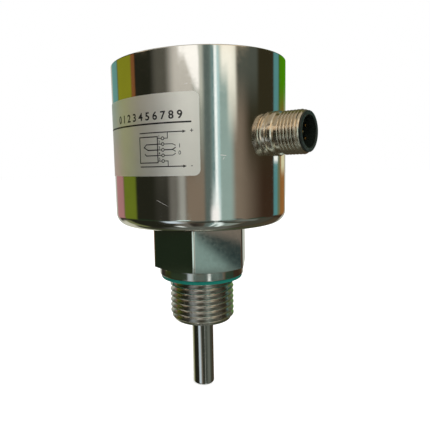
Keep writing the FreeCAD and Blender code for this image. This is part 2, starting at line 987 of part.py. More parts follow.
PIECES = [
    housing_cup, process_fitting, sealing_ring,
    probe_sheath, heated_element, reference_element, probe_filling, sensor_leads,
    faceplate, window_gasket, window_disc, bezel_ring,
    plug_bushing, bushing_nut, access_plug, plug_oring,
    connector_shell, connector_insert, connector_nose, connector_pins, connector_oring,
    connector_wires,
    label_foil,
    main_board, display_board, lower_standoffs, upper_standoffs, board_screws,
    supply_capacitors, supply_inductor, voltage_regulator, controller_chip,
    ribbon_sockets, ribbon_cable, lamp_red, lamp_yellow, lamp_green,
    trimmer_body, trimmer_rotor,
    relay_base, relay_terminals, relay_cover, relay_bobbin, relay_coil, relay_yoke,
    relay_armature, relay_contact_spring, relay_fixed_contacts,
]


def main():
    os.makedirs("parts", exist_ok=True)
    for make in PIECES:
        shape = make()
        name = make.__name__
        shape.exportStep(f"parts/{name}.step")
        print(f"{name:22s} solids {len(shape.Solids)}  volume {shape.Volume:10.2f}"
              f"  valid {shape.isValid()}")


main()
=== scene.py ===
import math

import bmesh
import bpy
import numpy as np
from bpy.props import FloatProperty, FloatVectorProperty, PointerProperty
from mathutils import Matrix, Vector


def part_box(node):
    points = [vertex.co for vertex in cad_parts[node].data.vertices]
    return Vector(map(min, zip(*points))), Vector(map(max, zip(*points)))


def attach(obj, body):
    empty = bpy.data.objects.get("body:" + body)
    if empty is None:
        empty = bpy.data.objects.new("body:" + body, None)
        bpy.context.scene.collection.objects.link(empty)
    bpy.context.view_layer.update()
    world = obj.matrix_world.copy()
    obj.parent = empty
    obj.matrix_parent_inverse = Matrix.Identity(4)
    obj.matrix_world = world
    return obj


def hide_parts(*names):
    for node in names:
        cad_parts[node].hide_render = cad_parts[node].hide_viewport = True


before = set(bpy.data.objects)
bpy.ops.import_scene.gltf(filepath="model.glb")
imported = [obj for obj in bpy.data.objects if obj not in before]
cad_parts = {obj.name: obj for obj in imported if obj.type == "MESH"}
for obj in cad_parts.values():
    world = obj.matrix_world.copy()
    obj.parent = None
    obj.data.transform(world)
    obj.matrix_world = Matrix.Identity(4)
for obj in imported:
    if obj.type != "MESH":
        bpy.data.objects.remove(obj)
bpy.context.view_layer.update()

bl_info = {
    "name": "Flow switch",
    "version": (1, 0, 0),
    "blender": (4, 5, 0),
    "location": "View3D > Sidebar > Flow switch",
    "description": "Dresses a thermal flow switch: housing, fitting, connector, cover and label",
    "category": "Object",
}

MM = 0.001
DEG = math.pi / 180

# How sharp the crests and roots of each thread are, where 1 is a plain triangle
PLUG_KEEN = 0.97
PIPE_KEEN = 0.88
CONNECTOR_KEEN = 0.8

# Relief and haze of the finishes: strength, and noise scale per metre
FINE_BUMP = 0.02
FINE_BUMP_SCALE = 4000.0
HAZE_SCALE = 900.0

# Small marks on the housing: turn about Z in degrees, height in mm, slope in degrees,
# length and width in mm
WALL_MARKS = [(-38.2, 38.6, -8.0, 2.2, 0.12), (-37.9, 37.8, 62.0, 1.0, 0.09),
              (-74.0, 26.3, -26.0, 4.6, 0.06), (-58.0, 57.0, 20.0, 1.2, 0.08)]

# Heights in mm of the five terminals in the label's diagram
TERMINAL_LEVELS = [43.45, 41.95, 40.45, 38.98, 37.5]


# Places read from the frame

def low(node):
    return [float(v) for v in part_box(node)[0]]


def high(node):
    return [float(v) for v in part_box(node)[1]]


BODY_R = -low("housing_cup")[0]
BODY_BOTTOM = low("housing_cup")[2]
BODY_TOP = high("housing_cup")[2]
FACEPLATE_BOTTOM = low("faceplate")[2]
FACEPLATE_TOP = high("faceplate")[2]
WINDOW_TOP = high("window_disc")[2]
BEZEL_R = -low("bezel_ring")[0]
BEZEL_TOP = high("bezel_ring")[2]
THREAD_END = low("process_fitting")[2]
SPIGOT_TOP = high("process_fitting")[2]
HEX_R = high("process_fitting")[0]
SEAL_BOTTOM = low("sealing_ring")[2]
SEAL_TOP = high("sealing_ring")[2]
SEAL_R = high("sealing_ring")[0]
PROBE_TIP = low("probe_sheath")[2]
PROBE_TOP = high("probe_sheath")[2]
PROBE_R = high("probe_sheath")[0]
PORT_Z = (low("connector_shell")[2] + high("connector_shell")[2]) / 2
SHELL_BACK = low("connector_shell")[0]
SHELL_END = high("connector_shell")[0]
NOSE_BACK = low("connector_nose")[0]
NOSE_END = high("connector_nose")[0]
PIN_BACK = low("connector_pins")[0]
PIN_END = high("connector_pins")[0]
PLUG_Y = (low("access_plug")[1] + high("access_plug")[1]) / 2
PLUG_TOP = high("access_plug")[2]
PLUG_LOW = low("access_plug")[2]
BUSHING_TOP = high("plug_bushing")[2]
BUSHING_LOW = low("plug_bushing")[2]
LABEL_TOP = high("label_foil")[2]
LABEL_BOTTOM = low("label_foil")[2]
LABEL_R = -low("label_foil")[1]


# Sizes, colours and stage settings that a user may change

def length(name, millimetres, text):
    return FloatProperty(name=name, description=text, default=millimetres * MM,
                         unit="LENGTH", precision=5)


def angle(name, degrees, text):
    return FloatProperty(name=name, description=text, default=degrees * DEG,
                         unit="ROTATION", subtype="ANGLE")


def amount(name, value, text):
    return FloatProperty(name=name, description=text, default=value)


def colour(name, red, green, blue, text):
    """Colour property whose default is written in display values from 0 to 255."""
    return FloatVectorProperty(name=name, description=text, subtype="COLOR", size=3,
                               min=0, max=1, default=display(red, green, blue)[:3])


def display(red, green, blue):
    """Linear colour of a display colour from 0 to 255: ((c + 0.055) / 1.055) ^ 2.4."""
    linear = []
    for value in (red, green, blue):
        c = value / 255
        linear.append(c / 12.92 if c < 0.04045 else ((c + 0.055) / 1.055) ** 2.4)
    return (*linear, 1.0)


class HousingSizes(bpy.types.PropertyGroup):
    wall: length("Wall", 1.5, "Thickness of the cup's wall")
    floor: length("Floor", 2.0, "Thickness of the cup's floor")
    bend: length("Bend", 3.6, "Radius of the rounded bottom edge")
    rim_wall: length("Rim wall", 0.8, "Wall left beside the cover's recess")
    rim_edge: length("Rim edge", 0.3, "Rounding of the upper rim")
    bore: length("Bore", 11.05, "Radius of the hole for the fitting's spigot")


class FittingSizes(bpy.types.PropertyGroup):
    across_flats: length("Across flats", 28.0, "Spanner size of the hexagon")
    hex_foot: length("Hexagon foot", 3.7, "Height of the hexagon's lower face")
    hex_chamfer: length("Hexagon chamfer", 0.6, "Height of the turned chamfer on the corners")
    collar: length("Collar", 13.7, "Radius of the collar above the sealing ring")
    thread: length("Thread", 10.4775, "Crest radius of the pipe thread")
    thread_start: length("Thread start", -0.4, "Height at which the thread's crest begins")
    pitch: length("Pitch", 1.814, "Pitch of the pipe thread")
    depth: length("Depth", 1.162, "Depth of the pipe thread")
    end_chamfer: length("End chamfer", 1.2, "Chamfer on the thread's lower end")
    neck: length("Neck", 9.6, "Radius of the relief under the collar")
    spigot: length("Spigot", 11.0, "Radius of the spigot in the housing's floor")
    bore: length("Bore", 4.8, "Radius of the cable bore")
    web: length("Web", 6.0, "Thickness of the web that holds the probe")


class ProbeSizes(bpy.types.PropertyGroup):
    wall: length("Wall", 0.4, "Wall of the probe's tube")
    tip_wall: length("Tip wall", 0.7, "Thickness of the closed tip")
    tip_edge: length("Tip edge", 0.45, "Rounding of the tip's edge")


class CoverSizes(bpy.types.PropertyGroup):
    recess: length("Recess", 24.0, "Radius of the bezel's recess round the window")
    opening: length("Opening", 21.8, "Radius of the bezel's opening")
    edge: length("Edge", 0.35, "Rounding of the bezel's upper edges")
    gasket_width: length("Gasket width", 1.5, "Width of the gasket under the window")
    lamp: length("Lamp", 1.5, "Radius of the indicator lamps")
    lamp_flange: length("Lamp flange", 1.8, "Radius of the flange at a lamp's foot")
    lamp_body: length("Lamp body", 3.9, "Height of a lamp below its dome")
    lamp_arc: length("Lamp arc", 11.0, "Radius of the arc on which the lamps stand")
    lamp_first: angle("First lamp", -140.0, "Direction of the first lamp")
    lamp_step: angle("Lamp step", 20.0, "Angle from one lamp to the next")


class PlugSizes(bpy.types.PropertyGroup):
    head: length("Head", 5.3, "Radius of the access plug's head")
    head_height: length("Head height", 1.7, "Height of the head")
    slot_width: length("Slot width", 1.2, "Width of the screwdriver slot")
    slot_depth: length("Slot depth", 1.0, "Depth of the screwdriver slot")
    shank: length("Shank", 3.95, "Crest radius of the plug's thread")
    pitch: length("Pitch", 1.0, "Pitch of the plug's thread")
    depth: length("Depth", 0.5, "Depth of the plug's thread")
    flange: length("Flange", 7.0, "Radius of the bushing's flange")
    bore: length("Bore", 4.0, "Radius of the bushing's bore")
    bushing: length("Bushing", 5.5, "Radius of the bushing below its flange")
    ring: length("Ring", 0.5, "Section radius of the plug's O-ring")
    ring_centre: length("Ring centre", 4.55, "Radius of the circle through its section")


class ConnectorSizes(bpy.types.PropertyGroup):
    body: length("Body", 6.2, "Radius of the shell in the housing's wall, and of its ridge")
    tail: length("Tail", 5.8, "Radius of the shell behind its flange")
    flange: length("Flange", 7.2, "Radius of the flange behind the wall")
    flange_back: length("Flange back", 23.21, "Where the flange begins along the connector")
    flange_face: length("Flange face", 24.41, "Where the flange meets the wall")
    groove: length("Groove", 5.55, "Radius of the O-ring's groove")
    face: length("Face", 27.1, "Where the body ends, just outside the wall")
    waist: length("Waist", 5.85, "Radius between the wall and the ridge")
    ridge_start: length("Ridge start", 27.7, "Where the ridge begins")
    ridge_end: length("Ridge end", 29.2, "Where the ridge ends")
    ridge_edge: length("Ridge edge", 0.3, "Bevel on both edges of the ridge")
    relief: length("Relief", 5.4, "Radius of the relief before the thread")
    thread_start: length("Thread start", 30.5, "Where the connector's thread begins")
    thread: length("Thread", 6.0, "Crest radius of the connector's thread")
    pitch: length("Pitch", 1.0, "Pitch of the connector's thread")
    depth: length("Depth", 0.6, "Depth of the connector's thread")
    end_chamfer: length("End chamfer", 0.6, "Chamfer on the thread's outer end")
    bore: length("Bore", 5.0, "Radius of the shell's bore")
    nose: length("Nose", 5.5, "Radius of the black nose's rim over the shell's end")
    sleeve: length("Sleeve", 4.95, "Radius of the nose inside the shell")
    socket: length("Socket", 4.3, "Radius of the socket")
    key_width: length("Key width", 1.0, "Width of the coding key")
    key_height: length("Key height", 0.6, "Height of the coding key")
    key_set_back: length("Key set back", 1.2, "How far the key ends below the nose")
    pin: length("Pin", 0.5, "Radius of a pin")
    pin_circle: length("Pin circle", 2.5, "Radius of the circle of four pins")


class LabelSizes(bpy.types.PropertyGroup):
    first: angle("First edge", -157.0, "Direction of the label's far edge")
    last: angle("Last edge", -51.0, "Direction of the label's near edge")
    corner: length("Corner", 1.6, "Radius of the label's corners")
    gap: length("Gap", 0.02, "Layer of adhesive under the film")
    ink: length("Ink", 0.012, "How far the print stands out of the film")
    hairline: length("Hairline", 0.2, "Width of the diagram's lines")
    rule: length("Rule", 0.42, "Width of the header rule")


class FlowSwitchFinish(bpy.types.PropertyGroup):
    steel: colour("Polished steel", 226, 222, 216, "Housing and bezel")
    turned: colour("Turned steel", 214, 210, 203, "Process fitting and probe")
    nickel: colour("Nickel", 224, 212, 194, "Connector shell, bushing and nut")
    seal: colour("Seal", 0, 120, 104, "Sealing ring")
    film: colour("Film", 248, 246, 239, "Label film")
    ink: colour("Ink", 26, 24, 24, "Print on the label")
    plastic: colour("Plastic", 24, 30, 24, "Connector nose and contact carrier")
    rubber: colour("Rubber", 22, 22, 23, "Gasket and O-rings")
    # Gold of the pins, darkened to paint the shade of the socket round them
    gold: colour("Gold", 128, 98, 50, "Dull gold of the connector pins")
    laminate: colour("Laminate", 22, 92, 48, "Circuit boards")


class StageSettings(bpy.types.PropertyGroup):
    camera_x: length("Camera X", 86.907, "Camera's place along X")
    camera_y: length("Camera Y", -109.549, "Camera's place along Y")
    camera_z: length("Camera Z", 36.437, "Camera's height")
    heading: angle("Heading", 40.900, "Camera's turn about the vertical")
    tilt: angle("Tilt", 6.686, "How far the camera looks down")
    roll: angle("Roll", -1.490, "Camera's turn about its own view")
    focal: amount("Focal length", 35.97, "Focal length in millimetres on a 36 mm sensor")
    shift: amount("Shift", 0.0767, "Sideways shift that puts the object left of the middle")
    fill: amount("Fill", 0.62, "Level of the plain light from all round")
    key: amount("Key", 0.42, "Level of the key lamp on a surface that faces it")
    rim: amount("Rim", 0.16, "Level of the lamp behind the object")


class FlowSwitchSettings(bpy.types.PropertyGroup):
    housing: PointerProperty(type=HousingSizes)
    fitting: PointerProperty(type=FittingSizes)
    probe: PointerProperty(type=ProbeSizes)
    cover: PointerProperty(type=CoverSizes)
    plug: PointerProperty(type=PlugSizes)
    connector: PointerProperty(type=ConnectorSizes)
    label: PointerProperty(type=LabelSizes)
    finish: PointerProperty(type=FlowSwitchFinish)
    stage: PointerProperty(type=StageSettings)


# Meshes from number arrays

def grid_quads(rows, columns, wrap_rows, wrap_columns):
    """Quads of a rows x columns grid of points; a wrapped side joins its last line to its first."""
    r = np.arange(rows if wrap_rows else rows - 1)
    c = np.arange(columns if wrap_columns else columns - 1)
    i, j = np.meshgrid(r, c, indexing="ij")
    next_i, next_j = (i + 1) % rows, (j + 1) % columns
    corners = [i * columns + j, i * columns + next_j, next_i * columns + next_j,
               next_i * columns + j]
    return np.stack(corners, -1).reshape(-1, 4)


def join(surfaces):
    """One list of points and one of quads from several (points, quads) pairs."""
    points, quads, count = [], [], 0
    for p, q in surfaces:
        p = np.asarray(p, float).reshape(-1, 3)
        points.append(p)
        quads.append(q + count)
        count += len(p)
    return np.concatenate(points), np.concatenate(quads)


def mesh_piece(name, surfaces, sharp=30.0):
    """Object at the origin from (points, quads) pairs, its doubles merged and faces outward."""
    points, quads = join(surfaces)
    mesh = bpy.data.meshes.new(name)
    mesh.vertices.add(len(points))
    mesh.vertices.foreach_set("co", points.astype(np.float32).ravel())
    mesh.loops.add(quads.size)
    mesh.loops.foreach_set("vertex_index", quads.astype(np.int32).ravel())
    mesh.polygons.add(len(quads))
    mesh.polygons.foreach_set("loop_start", np.arange(0, quads.size, 4, dtype=np.int32))
    mesh.update(calc_edges=True)
    work = bmesh.new()
    work.from_mesh(mesh)
    bmesh.ops.remove_doubles(work, verts=work.verts, dist=1e-7)
    bmesh.ops.recalc_face_normals(work, faces=work.faces)
    work.to_mesh(mesh)
    work.free()
    mesh.shade_smooth()
    mesh.set_sharp_from_angle(angle=sharp * DEG)
    piece = bpy.data.objects.new(name, mesh)
    bpy.context.scene.collection.objects.link(piece)
    return piece


def rounded(corners, steps=5, closed=True):
    """Section with rounded corners, as an array of (radius, height).

    A corner is (radius, height, rounding, parts). Its arc touches both sides at
    rounding / tan(half the corner's angle) from the corner. A straight side is cut into the
    parts that its first corner names, and two more points beside each arc keep it flat.
    """
    places = [np.array(c[:2], float) for c in corners]
    n = len(corners)
    line = []
    for k in range(n):
        rounding = corners[k][2] if len(corners[k]) > 2 else 0.0
        here = places[k]
        inner = closed or 0 < k < n - 1
        if rounding <= 0 or not inner:
            stretch = [here]
        else:
            back, ahead = places[k - 1] - here, places[(k + 1) % n] - here
            reach = min(np.linalg.norm(back), np.linalg.norm(ahead)) * 0.49
            back, ahead = back / np.linalg.norm(back), ahead / np.linalg.norm(ahead)
            half = math.acos(max(-1.0, min(1.0, float(back @ ahead)))) / 2
            touch = min(rounding / math.tan(half), reach)
            radius = touch * math.tan(half)
            centre = here + (back + ahead) / np.linalg.norm(back + ahead) * radius / math.sin(half)
            first, last = here + back * touch - centre, here + ahead * touch - centre
            turn = np.linspace(0, 1, steps + 1)
            sweep = math.pi - 2 * half
            arc = [centre + (math.sin((1 - t) * sweep) * first + math.sin(t * sweep) * last)
                   / math.sin(sweep) for t in turn]
            guard = min(0.15 * touch, 0.05 * MM)
            stretch = [arc[0] + back * guard, *arc, arc[-1] + ahead * guard]
        line.append((stretch, corners[k][3] if len(corners[k]) > 3 else 1))
    points = []
    for k, (stretch, parts) in enumerate(line):
        points.extend(stretch)
        if parts > 1:
            follow = line[(k + 1) % n][0][0]
            for t in np.arange(1, parts) / parts:
                points.append(stretch[-1] * (1 - t) + follow * t)
    return np.array(points)


def around(count):
    return np.arange(count) * 2 * math.pi / count


def turned(section, angles, closed=True, radius_at=None):
    """Section swept round Z: x = r cos a, y = r sin a, z = h.

    radius_at changes the radius from its arrays of section radius, height and angle.
    """
    r = np.repeat(section[:, :1], len(angles), 1)
    h = np.repeat(section[:, 1:], len(angles), 1)
    a = np.repeat(angles[None, :], len(section), 0)
    if radius_at is not None:
        r = radius_at(r, h, a)
    points = np.stack([r * np.cos(a), r * np.sin(a), h], -1)
    return points.reshape(-1, 3), grid_quads(len(section), len(angles), closed, True)


def moved(surface, x=0.0, y=0.0):
    points, quads = surface
    return points + np.array([x, y, 0.0]), quads


def to_port(surface):
    """Lays a surface made about Z along the connector: (x, y, z) goes to (z, y, -x)."""
    points, quads = surface
    return np.stack([points[:, 2], points[:, 1], PORT_Z - points[:, 0]], -1), quads


def torus(centre_r, section_r, height, angles):
    """Ring of circular section: radius centre + s cos b, height h + s sin b."""
    b = around(20)
    section = np.stack([centre_r + section_r * np.cos(b), height + section_r * np.sin(b)], -1)
    return turned(section, angles)


def thread_depth(height, angles, pitch, depth, keen):
    """How far a right-hand thread lies below its crests.

    The turn is height / pitch - angle / 2 pi, and the flank is arcsin(keen cos) of it, a
    triangle wave whose crests and roots are rounded as keen falls below 1.
    """
    turn = height / pitch - angles / (2 * math.pi)
    wave = np.arcsin(keen * np.cos(2 * math.pi * turn)) / math.asin(keen)
    return depth * (1 - wave) / 2


def soft_min(a, b, blend):
    """The smaller of two radii with their meeting rounded over the blend."""
    lower = np.minimum(a, b)
    return lower - blend * np.log1p(np.exp(-np.abs(a - b) / blend))


# Shader parts

def link(tree, source, target):
    tree.links.new(source, target)


def feed(tree, socket, value):
    """Links another socket to this one, or sets a constant on it."""
    if isinstance(value, bpy.types.NodeSocket):
        link(tree, value, socket)
    else:
        socket.default_value = value


def add_node(tree, kind, **values):
    """Node of a kind; a value named after one of its sockets sets it, or is linked to it."""
    made = tree.nodes.new(kind)
    for name, value in values.items():
        title = name.replace("_", " ")
        socket = next((s for s in made.inputs if s.name == title), None)
        if socket is None:
            setattr(made, name, value)
        else:
            feed(tree, socket, value)
    return made


def maths(tree, operation, *values):
    made = tree.nodes.new("ShaderNodeMath")
    made.operation = operation
    for socket, value in zip(made.inputs, values):
        feed(tree, socket, value)
    return made.outputs[0]


def smooth_step(tree, value, start, end):
    made = tree.nodes.new("ShaderNodeMapRange")
    made.interpolation_type = "SMOOTHSTEP"
    for name, item in (("Value", value), ("From Min", start), ("From Max", end)):
        feed(tree, made.inputs[name], item)
    return made.outputs["Result"]


def mix_colour(tree, factor, first, second):
    made = tree.nodes.new("ShaderNodeMix")
    made.data_type = "RGBA"
    for place, value in ((0, factor), (6, first), (7, second)):
        feed(tree, made.inputs[place], value)
    return made.outputs[2]


def new_group(name, inputs, outputs):
    """Empty node group with named sockets, each given as (name, kind, default)."""
    group = bpy.data.node_groups.new(name, "ShaderNodeTree")
    for title, kind, default in inputs:
        socket = group.interface.new_socket(title, in_out="INPUT", socket_type=f"NodeSocket{kind}")
        if default is not None:
            socket.default_value = default
    for title, kind in outputs:
        group.interface.new_socket(title, in_out="OUTPUT", socket_type=f"NodeSocket{kind}")
    return group, group.nodes.new("NodeGroupInput"), group.nodes.new("NodeGroupOutput")


def place_group(tree, group, **values):
    made = tree.nodes.new("ShaderNodeGroup")
    made.node_tree = group
    for name, value in values.items():
        feed(tree, made.inputs[name.replace("_", " ")], value)
    return made


def build_grain_group():
    """Cloudy noise: a value between Low and High, a height, and a mask of its peaks."""
    group, start, end = new_group("surface_grain", [
        ("Coordinates", "Vector", None), ("Scale", "Float", 400.0), ("Detail", "Float", 3.0),
        ("Low", "Float", 0.3), ("High", "Float", 0.5), ("Peaks From", "Float", 0.62),
    ], [("Value", "Float"), ("Height", "Float"), ("Mask", "Float")])
    noise = add_node(group, "ShaderNodeTexNoise", Vector=start.outputs["Coordinates"],
                     Scale=start.outputs["Scale"], Detail=start.outputs["Detail"])
    height = noise.outputs[0]
    spread = add_node(group, "ShaderNodeMapRange", Value=height, From_Min=0.3, From_Max=0.7,
                      To_Min=start.outputs["Low"], To_Max=start.outputs["High"])
    top = maths(group, "ADD", start.outputs["Peaks From"], 0.08)
    link(group, spread.outputs[0], end.inputs["Value"])
    link(group, height, end.inputs["Height"])
    link(group, smooth_step(group, height, start.outputs["Peaks From"], top), end.inputs["Mask"])
    return group


def build_lines_group():
    """Fine lines left by a tool: stretched noise across one direction, as a height."""
    group, start, end = new_group("tool_lines", [
        ("Coordinates", "Vector", None), ("Across", "Vector", (40.0, 40.0, 9000.0)),
        ("Wander", "Float", 0.35),
    ], [("Height", "Float")])
    scaled = add_node(group, "ShaderNodeVectorMath", operation="MULTIPLY")
    link(group, start.outputs["Coordinates"], scaled.inputs[0])
    link(group, start.outputs["Across"], scaled.inputs[1])
    noise = add_node(group, "ShaderNodeTexNoise", Vector=scaled.outputs[0], Scale=1.0, Detail=2.0,
                     Distortion=start.outputs["Wander"])
    link(group, noise.outputs[0], end.inputs["Height"])
    return group


def build_scratch_group():
    """One straight scratch on the wall: a thin mask along a line through a point.

    With the turn about Z times the radius as the across place, the distance from the line is
    |dx sin t - dz cos t| and the place along it is dx cos t + dz sin t.
    """
    group, start, end = new_group("scratch", [
        ("Across", "Float", 0.0), ("Height", "Float", 0.0), ("Centre Across", "Float", 0.0),
        ("Centre Height", "Float", 0.0), ("Slope", "Float", 0.0), ("Length", "Float", 0.002),
        ("Width", "Float", 0.0001),
    ], [("Mask", "Float")])
    dx = maths(group, "SUBTRACT", start.outputs["Across"], start.outputs["Centre Across"])
    dz = maths(group, "SUBTRACT", start.outputs["Height"], start.outputs["Centre Height"])
    sine = maths(group, "SINE", start.outputs["Slope"])
    cosine = maths(group, "COSINE", start.outputs["Slope"])
    off = maths(group, "ABSOLUTE", maths(group, "SUBTRACT", maths(group, "MULTIPLY", dx, sine),
                                         maths(group, "MULTIPLY", dz, cosine)))
    along = maths(group, "ABSOLUTE", maths(group, "ADD", maths(group, "MULTIPLY", dx, cosine),
                                           maths(group, "MULTIPLY", dz, sine)))
    half = maths(group, "MULTIPLY", start.outputs["Length"], 0.5)
    thin = maths(group, "SUBTRACT", 1.0, smooth_step(group, off, 0.0, start.outputs["Width"]))
    short = maths(group, "SUBTRACT", 1.0, smooth_step(
        group, along, maths(group, "MULTIPLY", half, 0.4), half))
    link(group, maths(group, "MULTIPLY", thin, short), end.inputs["Mask"])
    return group


def build_card_group():
    """One soft-edged card on the studio dome, laid over what is under it.

    Its middle leans by Lean degrees of azimuth for each degree of elevation above Low.
    """
    group, start, end = new_group("studio_card", [
        ("Azimuth", "Float", 0.0), ("Elevation", "Float", 0.0), ("Under", "Color", None),
        ("Colour", "Color", None), ("Middle", "Float", 0.0), ("Half Width", "Float", 10.0),
        ("Soft", "Float", 1.5), ("Low", "Float", -90.0), ("High", "Float", 90.0),
        ("Fade", "Float", 2.0), ("Lean", "Float", 0.0),
    ], [("Colour", "Color")])
    get = start.outputs
    leaning = maths(group, "MULTIPLY", get["Lean"],
                    maths(group, "SUBTRACT", get["Elevation"], get["Low"]))
    middle = maths(group, "ADD", get["Middle"], leaning)
    off = maths(group, "ABSOLUTE", maths(group, "SUBTRACT", get["Azimuth"], middle))
    across = maths(group, "SUBTRACT", 1.0, smooth_step(
        group, off, maths(group, "SUBTRACT", get["Half Width"], get["Soft"]),
        maths(group, "ADD", get["Half Width"], get["Soft"])))
    above = smooth_step(group, get["Elevation"], maths(group, "SUBTRACT", get["Low"], get["Fade"]),
                        maths(group, "ADD", get["Low"], get["Fade"]))
    below = maths(group, "SUBTRACT", 1.0, smooth_step(
        group, get["Elevation"], maths(group, "SUBTRACT", get["High"], get["Fade"]),
        maths(group, "ADD", get["High"], get["Fade"])))
    mask = maths(group, "MULTIPLY", across, maths(group, "MULTIPLY", above, below))
    link(group, mix_colour(group, mask, get["Under"], get["Colour"]), end.inputs["Colour"])
    return group


GROUPS = {}


def shared(name):
    """The shader group of that name, built the first time it is asked for."""
    builders = {"grain": build_grain_group, "lines": build_lines_group,
                "scratch": build_scratch_group, "card": build_card_group}
    if name not in GROUPS:
        GROUPS[name] = builders[name]()
    return GROUPS[name]


def new_material(name):
    material = bpy.data.materials.new(name)
    material.use_nodes = True
    tree = material.node_tree
    shader = tree.nodes["Principled BSDF"]
    place = tree.nodes.new("ShaderNodeTexCoord").outputs["Object"]
    return material, tree, shader, place


def opaque(rgb, share=1.0):
    return (rgb[0] * share, rgb[1] * share, rgb[2] * share, 1.0)


def plain_finish(name, rgb, roughness, spread=0.08, scale=500.0, shade=0.82, metallic=0.0,
                 **sockets):
    """Moulded, cast or coated surface: mottled colour, uneven gloss and a fine bump."""
    material, tree, shader, place = new_material(name)
    mottle = place_group(tree, shared("grain"), Coordinates=place, Scale=scale, Low=0.0, High=1.0)
    link(tree, mix_colour(tree, mottle.outputs["Value"], opaque(rgb, shade), opaque(rgb)),
         shader.inputs["Base Color"])
    gloss = place_group(tree, shared("grain"), Coordinates=place, Scale=scale * 2.3,
                        Low=roughness - spread, High=roughness + spread)
    link(tree, gloss.outputs["Value"], shader.inputs["Roughness"])
    fine = place_group(tree, shared("grain"), Coordinates=place, Scale=FINE_BUMP_SCALE,
                       Detail=4.0)
    relief = add_node(tree, "ShaderNodeBump", Strength=FINE_BUMP, Distance=0.02 * MM,
                      Height=fine.outputs["Height"])
    link(tree, relief.outputs[0], shader.inputs["Normal"])
    shader.inputs["Metallic"].default_value = metallic
    for title, value in sockets.items():
        shader.inputs[title.replace("_", " ")].default_value = value
    return material


def tooled_metal(name, rgb, roughness, spread=0.03, across=(40.0, 40.0, 9000.0), lines=0.06,
                 scratches=(), worn=None):
    """Turned or polished metal: fine tool lines, patches of haze and a few scratches.

    Worn is a height and a roughness: below that height the surface is duller by that much.
    Scratches are given as WALL_MARKS is, and each is rougher and less metallic than the wall.
    """
    material, tree, shader, place = new_material(name)
    patches = place_group(tree, shared("grain"), Coordinates=place, Scale=HAZE_SCALE,
                          Low=roughness - spread, High=roughness + spread)
    tint = place_group(tree, shared("grain"), Coordinates=place, Scale=HAZE_SCALE / 6, Low=0.0,
                       High=1.0)
    base = mix_colour(tree, tint.outputs["Value"], opaque(rgb, 0.94), opaque(rgb))
    rough = patches.outputs["Value"]
    metallic = 1.0
    if worn:
        height = add_node(tree, "ShaderNodeSeparateXYZ", Vector=place).outputs[2]
        under = smooth_step(tree, height, worn[0] + 0.2 * MM, worn[0] - 0.2 * MM)
        rough = maths(tree, "ADD", rough, maths(tree, "MULTIPLY", under, worn[1]))
    if scratches:
        split = add_node(tree, "ShaderNodeSeparateXYZ", Vector=place)
        turn = maths(tree, "ARCTAN2", split.outputs[1], split.outputs[0])
        arc = maths(tree, "MULTIPLY", turn, BODY_R)
        for middle, height, slope, long, wide in scratches:
            mark = place_group(tree, shared("scratch"), Across=arc, Height=split.outputs[2],
                               Centre_Across=middle * DEG * BODY_R, Centre_Height=height * MM,
                               Slope=slope * DEG, Length=long * MM, Width=wide * MM)
            rough = maths(tree, "ADD", rough, maths(tree, "MULTIPLY", mark.outputs[0], 0.5))
            metallic = maths(tree, "SUBTRACT", metallic,
                             maths(tree, "MULTIPLY", mark.outputs[0], 0.8))
    feed(tree, shader.inputs["Metallic"], metallic)
    link(tree, base, shader.inputs["Base Color"])
    link(tree, rough, shader.inputs["Roughness"])
    grooves = place_group(tree, shared("lines"), Coordinates=place, Across=across)
    relief = add_node(tree, "ShaderNodeBump", Strength=lines, Distance=0.004 * MM,
                      Height=grooves.outputs["Height"])
    link(tree, relief.outputs[0], shader.inputs["Normal"])
    return material


def clear_plastic(name):
    """Window: clear plastic with a trace of haze."""
    material, tree, shader, place = new_material(name)
    haze = place_group(tree, shared("grain"), Coordinates=place, Scale=250.0, Low=0.02, High=0.07)
    link(tree, haze.outputs["Value"], shader.inputs["Roughness"])
    shader.inputs["Base Color"].default_value = display(240, 246, 246)
    shader.inputs["Transmission Weight"].default_value = 1.0
    shader.inputs["IOR"].default_value = 1.2
    return material


def dress(piece, material):
    piece.data.materials.clear()
    piece.data.materials.append(material)


def seat(piece, node, material, body="root"):
    """The piece stands for a CAD node, rides on its body and has its slot and finish."""
    dress(piece, material)
    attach(piece, body)
    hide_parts(node)


def settings(context):
    return context.scene.flow_switch


# Pieces

class FLOW_OT_housing(bpy.types.Operator):
    """Round housing: a turned cup with a rounded bottom edge and a recess for the cover"""
    bl_idname = "flow.housing"
    bl_label = "Housing"

    def execute(self, context):
        size = settings(context).housing
        inner = BODY_R - size.wall
        floor_top = BODY_BOTTOM + size.floor
        recess = BODY_R - size.rim_wall
        section = rounded([
            (size.bore, BODY_BOTTOM), (BODY_R, BODY_BOTTOM, size.bend, 6),
            (BODY_R, BODY_TOP, size.rim_edge), (recess, BODY_TOP, 0.1 * MM),
            (recess, FACEPLATE_BOTTOM, 0.05 * MM), (inner, FACEPLATE_BOTTOM, 0.1 * MM),
            (inner, floor_top, size.bend - size.wall), (size.bore, floor_top),
        ], steps=14)
        piece = mesh_piece("housing", [turned(section, around(288))])
        steel = tooled_metal("polished_steel", settings(context).finish.steel, 0.075,
                             scratches=WALL_MARKS)
        seat(piece, "housing_cup", steel)
        return {"FINISHED"}


def hexagon_angles(corner_half):
    """Angles that fall on both edges of each corner's land, with more of them close by."""
    flat = 30 - corner_half
    near = np.array([-0.5, -0.25, -0.1, 0.1, 0.25, 0.5])
    sector = np.concatenate([np.linspace(-flat + 1, flat - 1, 21), -flat + near, flat + near,
                             [-30.0, 30 - corner_half / 2, -30 + corner_half / 2]])
    sector = np.unique(np.round(sector, 4))
    sector = sector[sector < 29.9999]
    return np.concatenate([(sector + 30 + 60 * k) * DEG for k in range(6)])


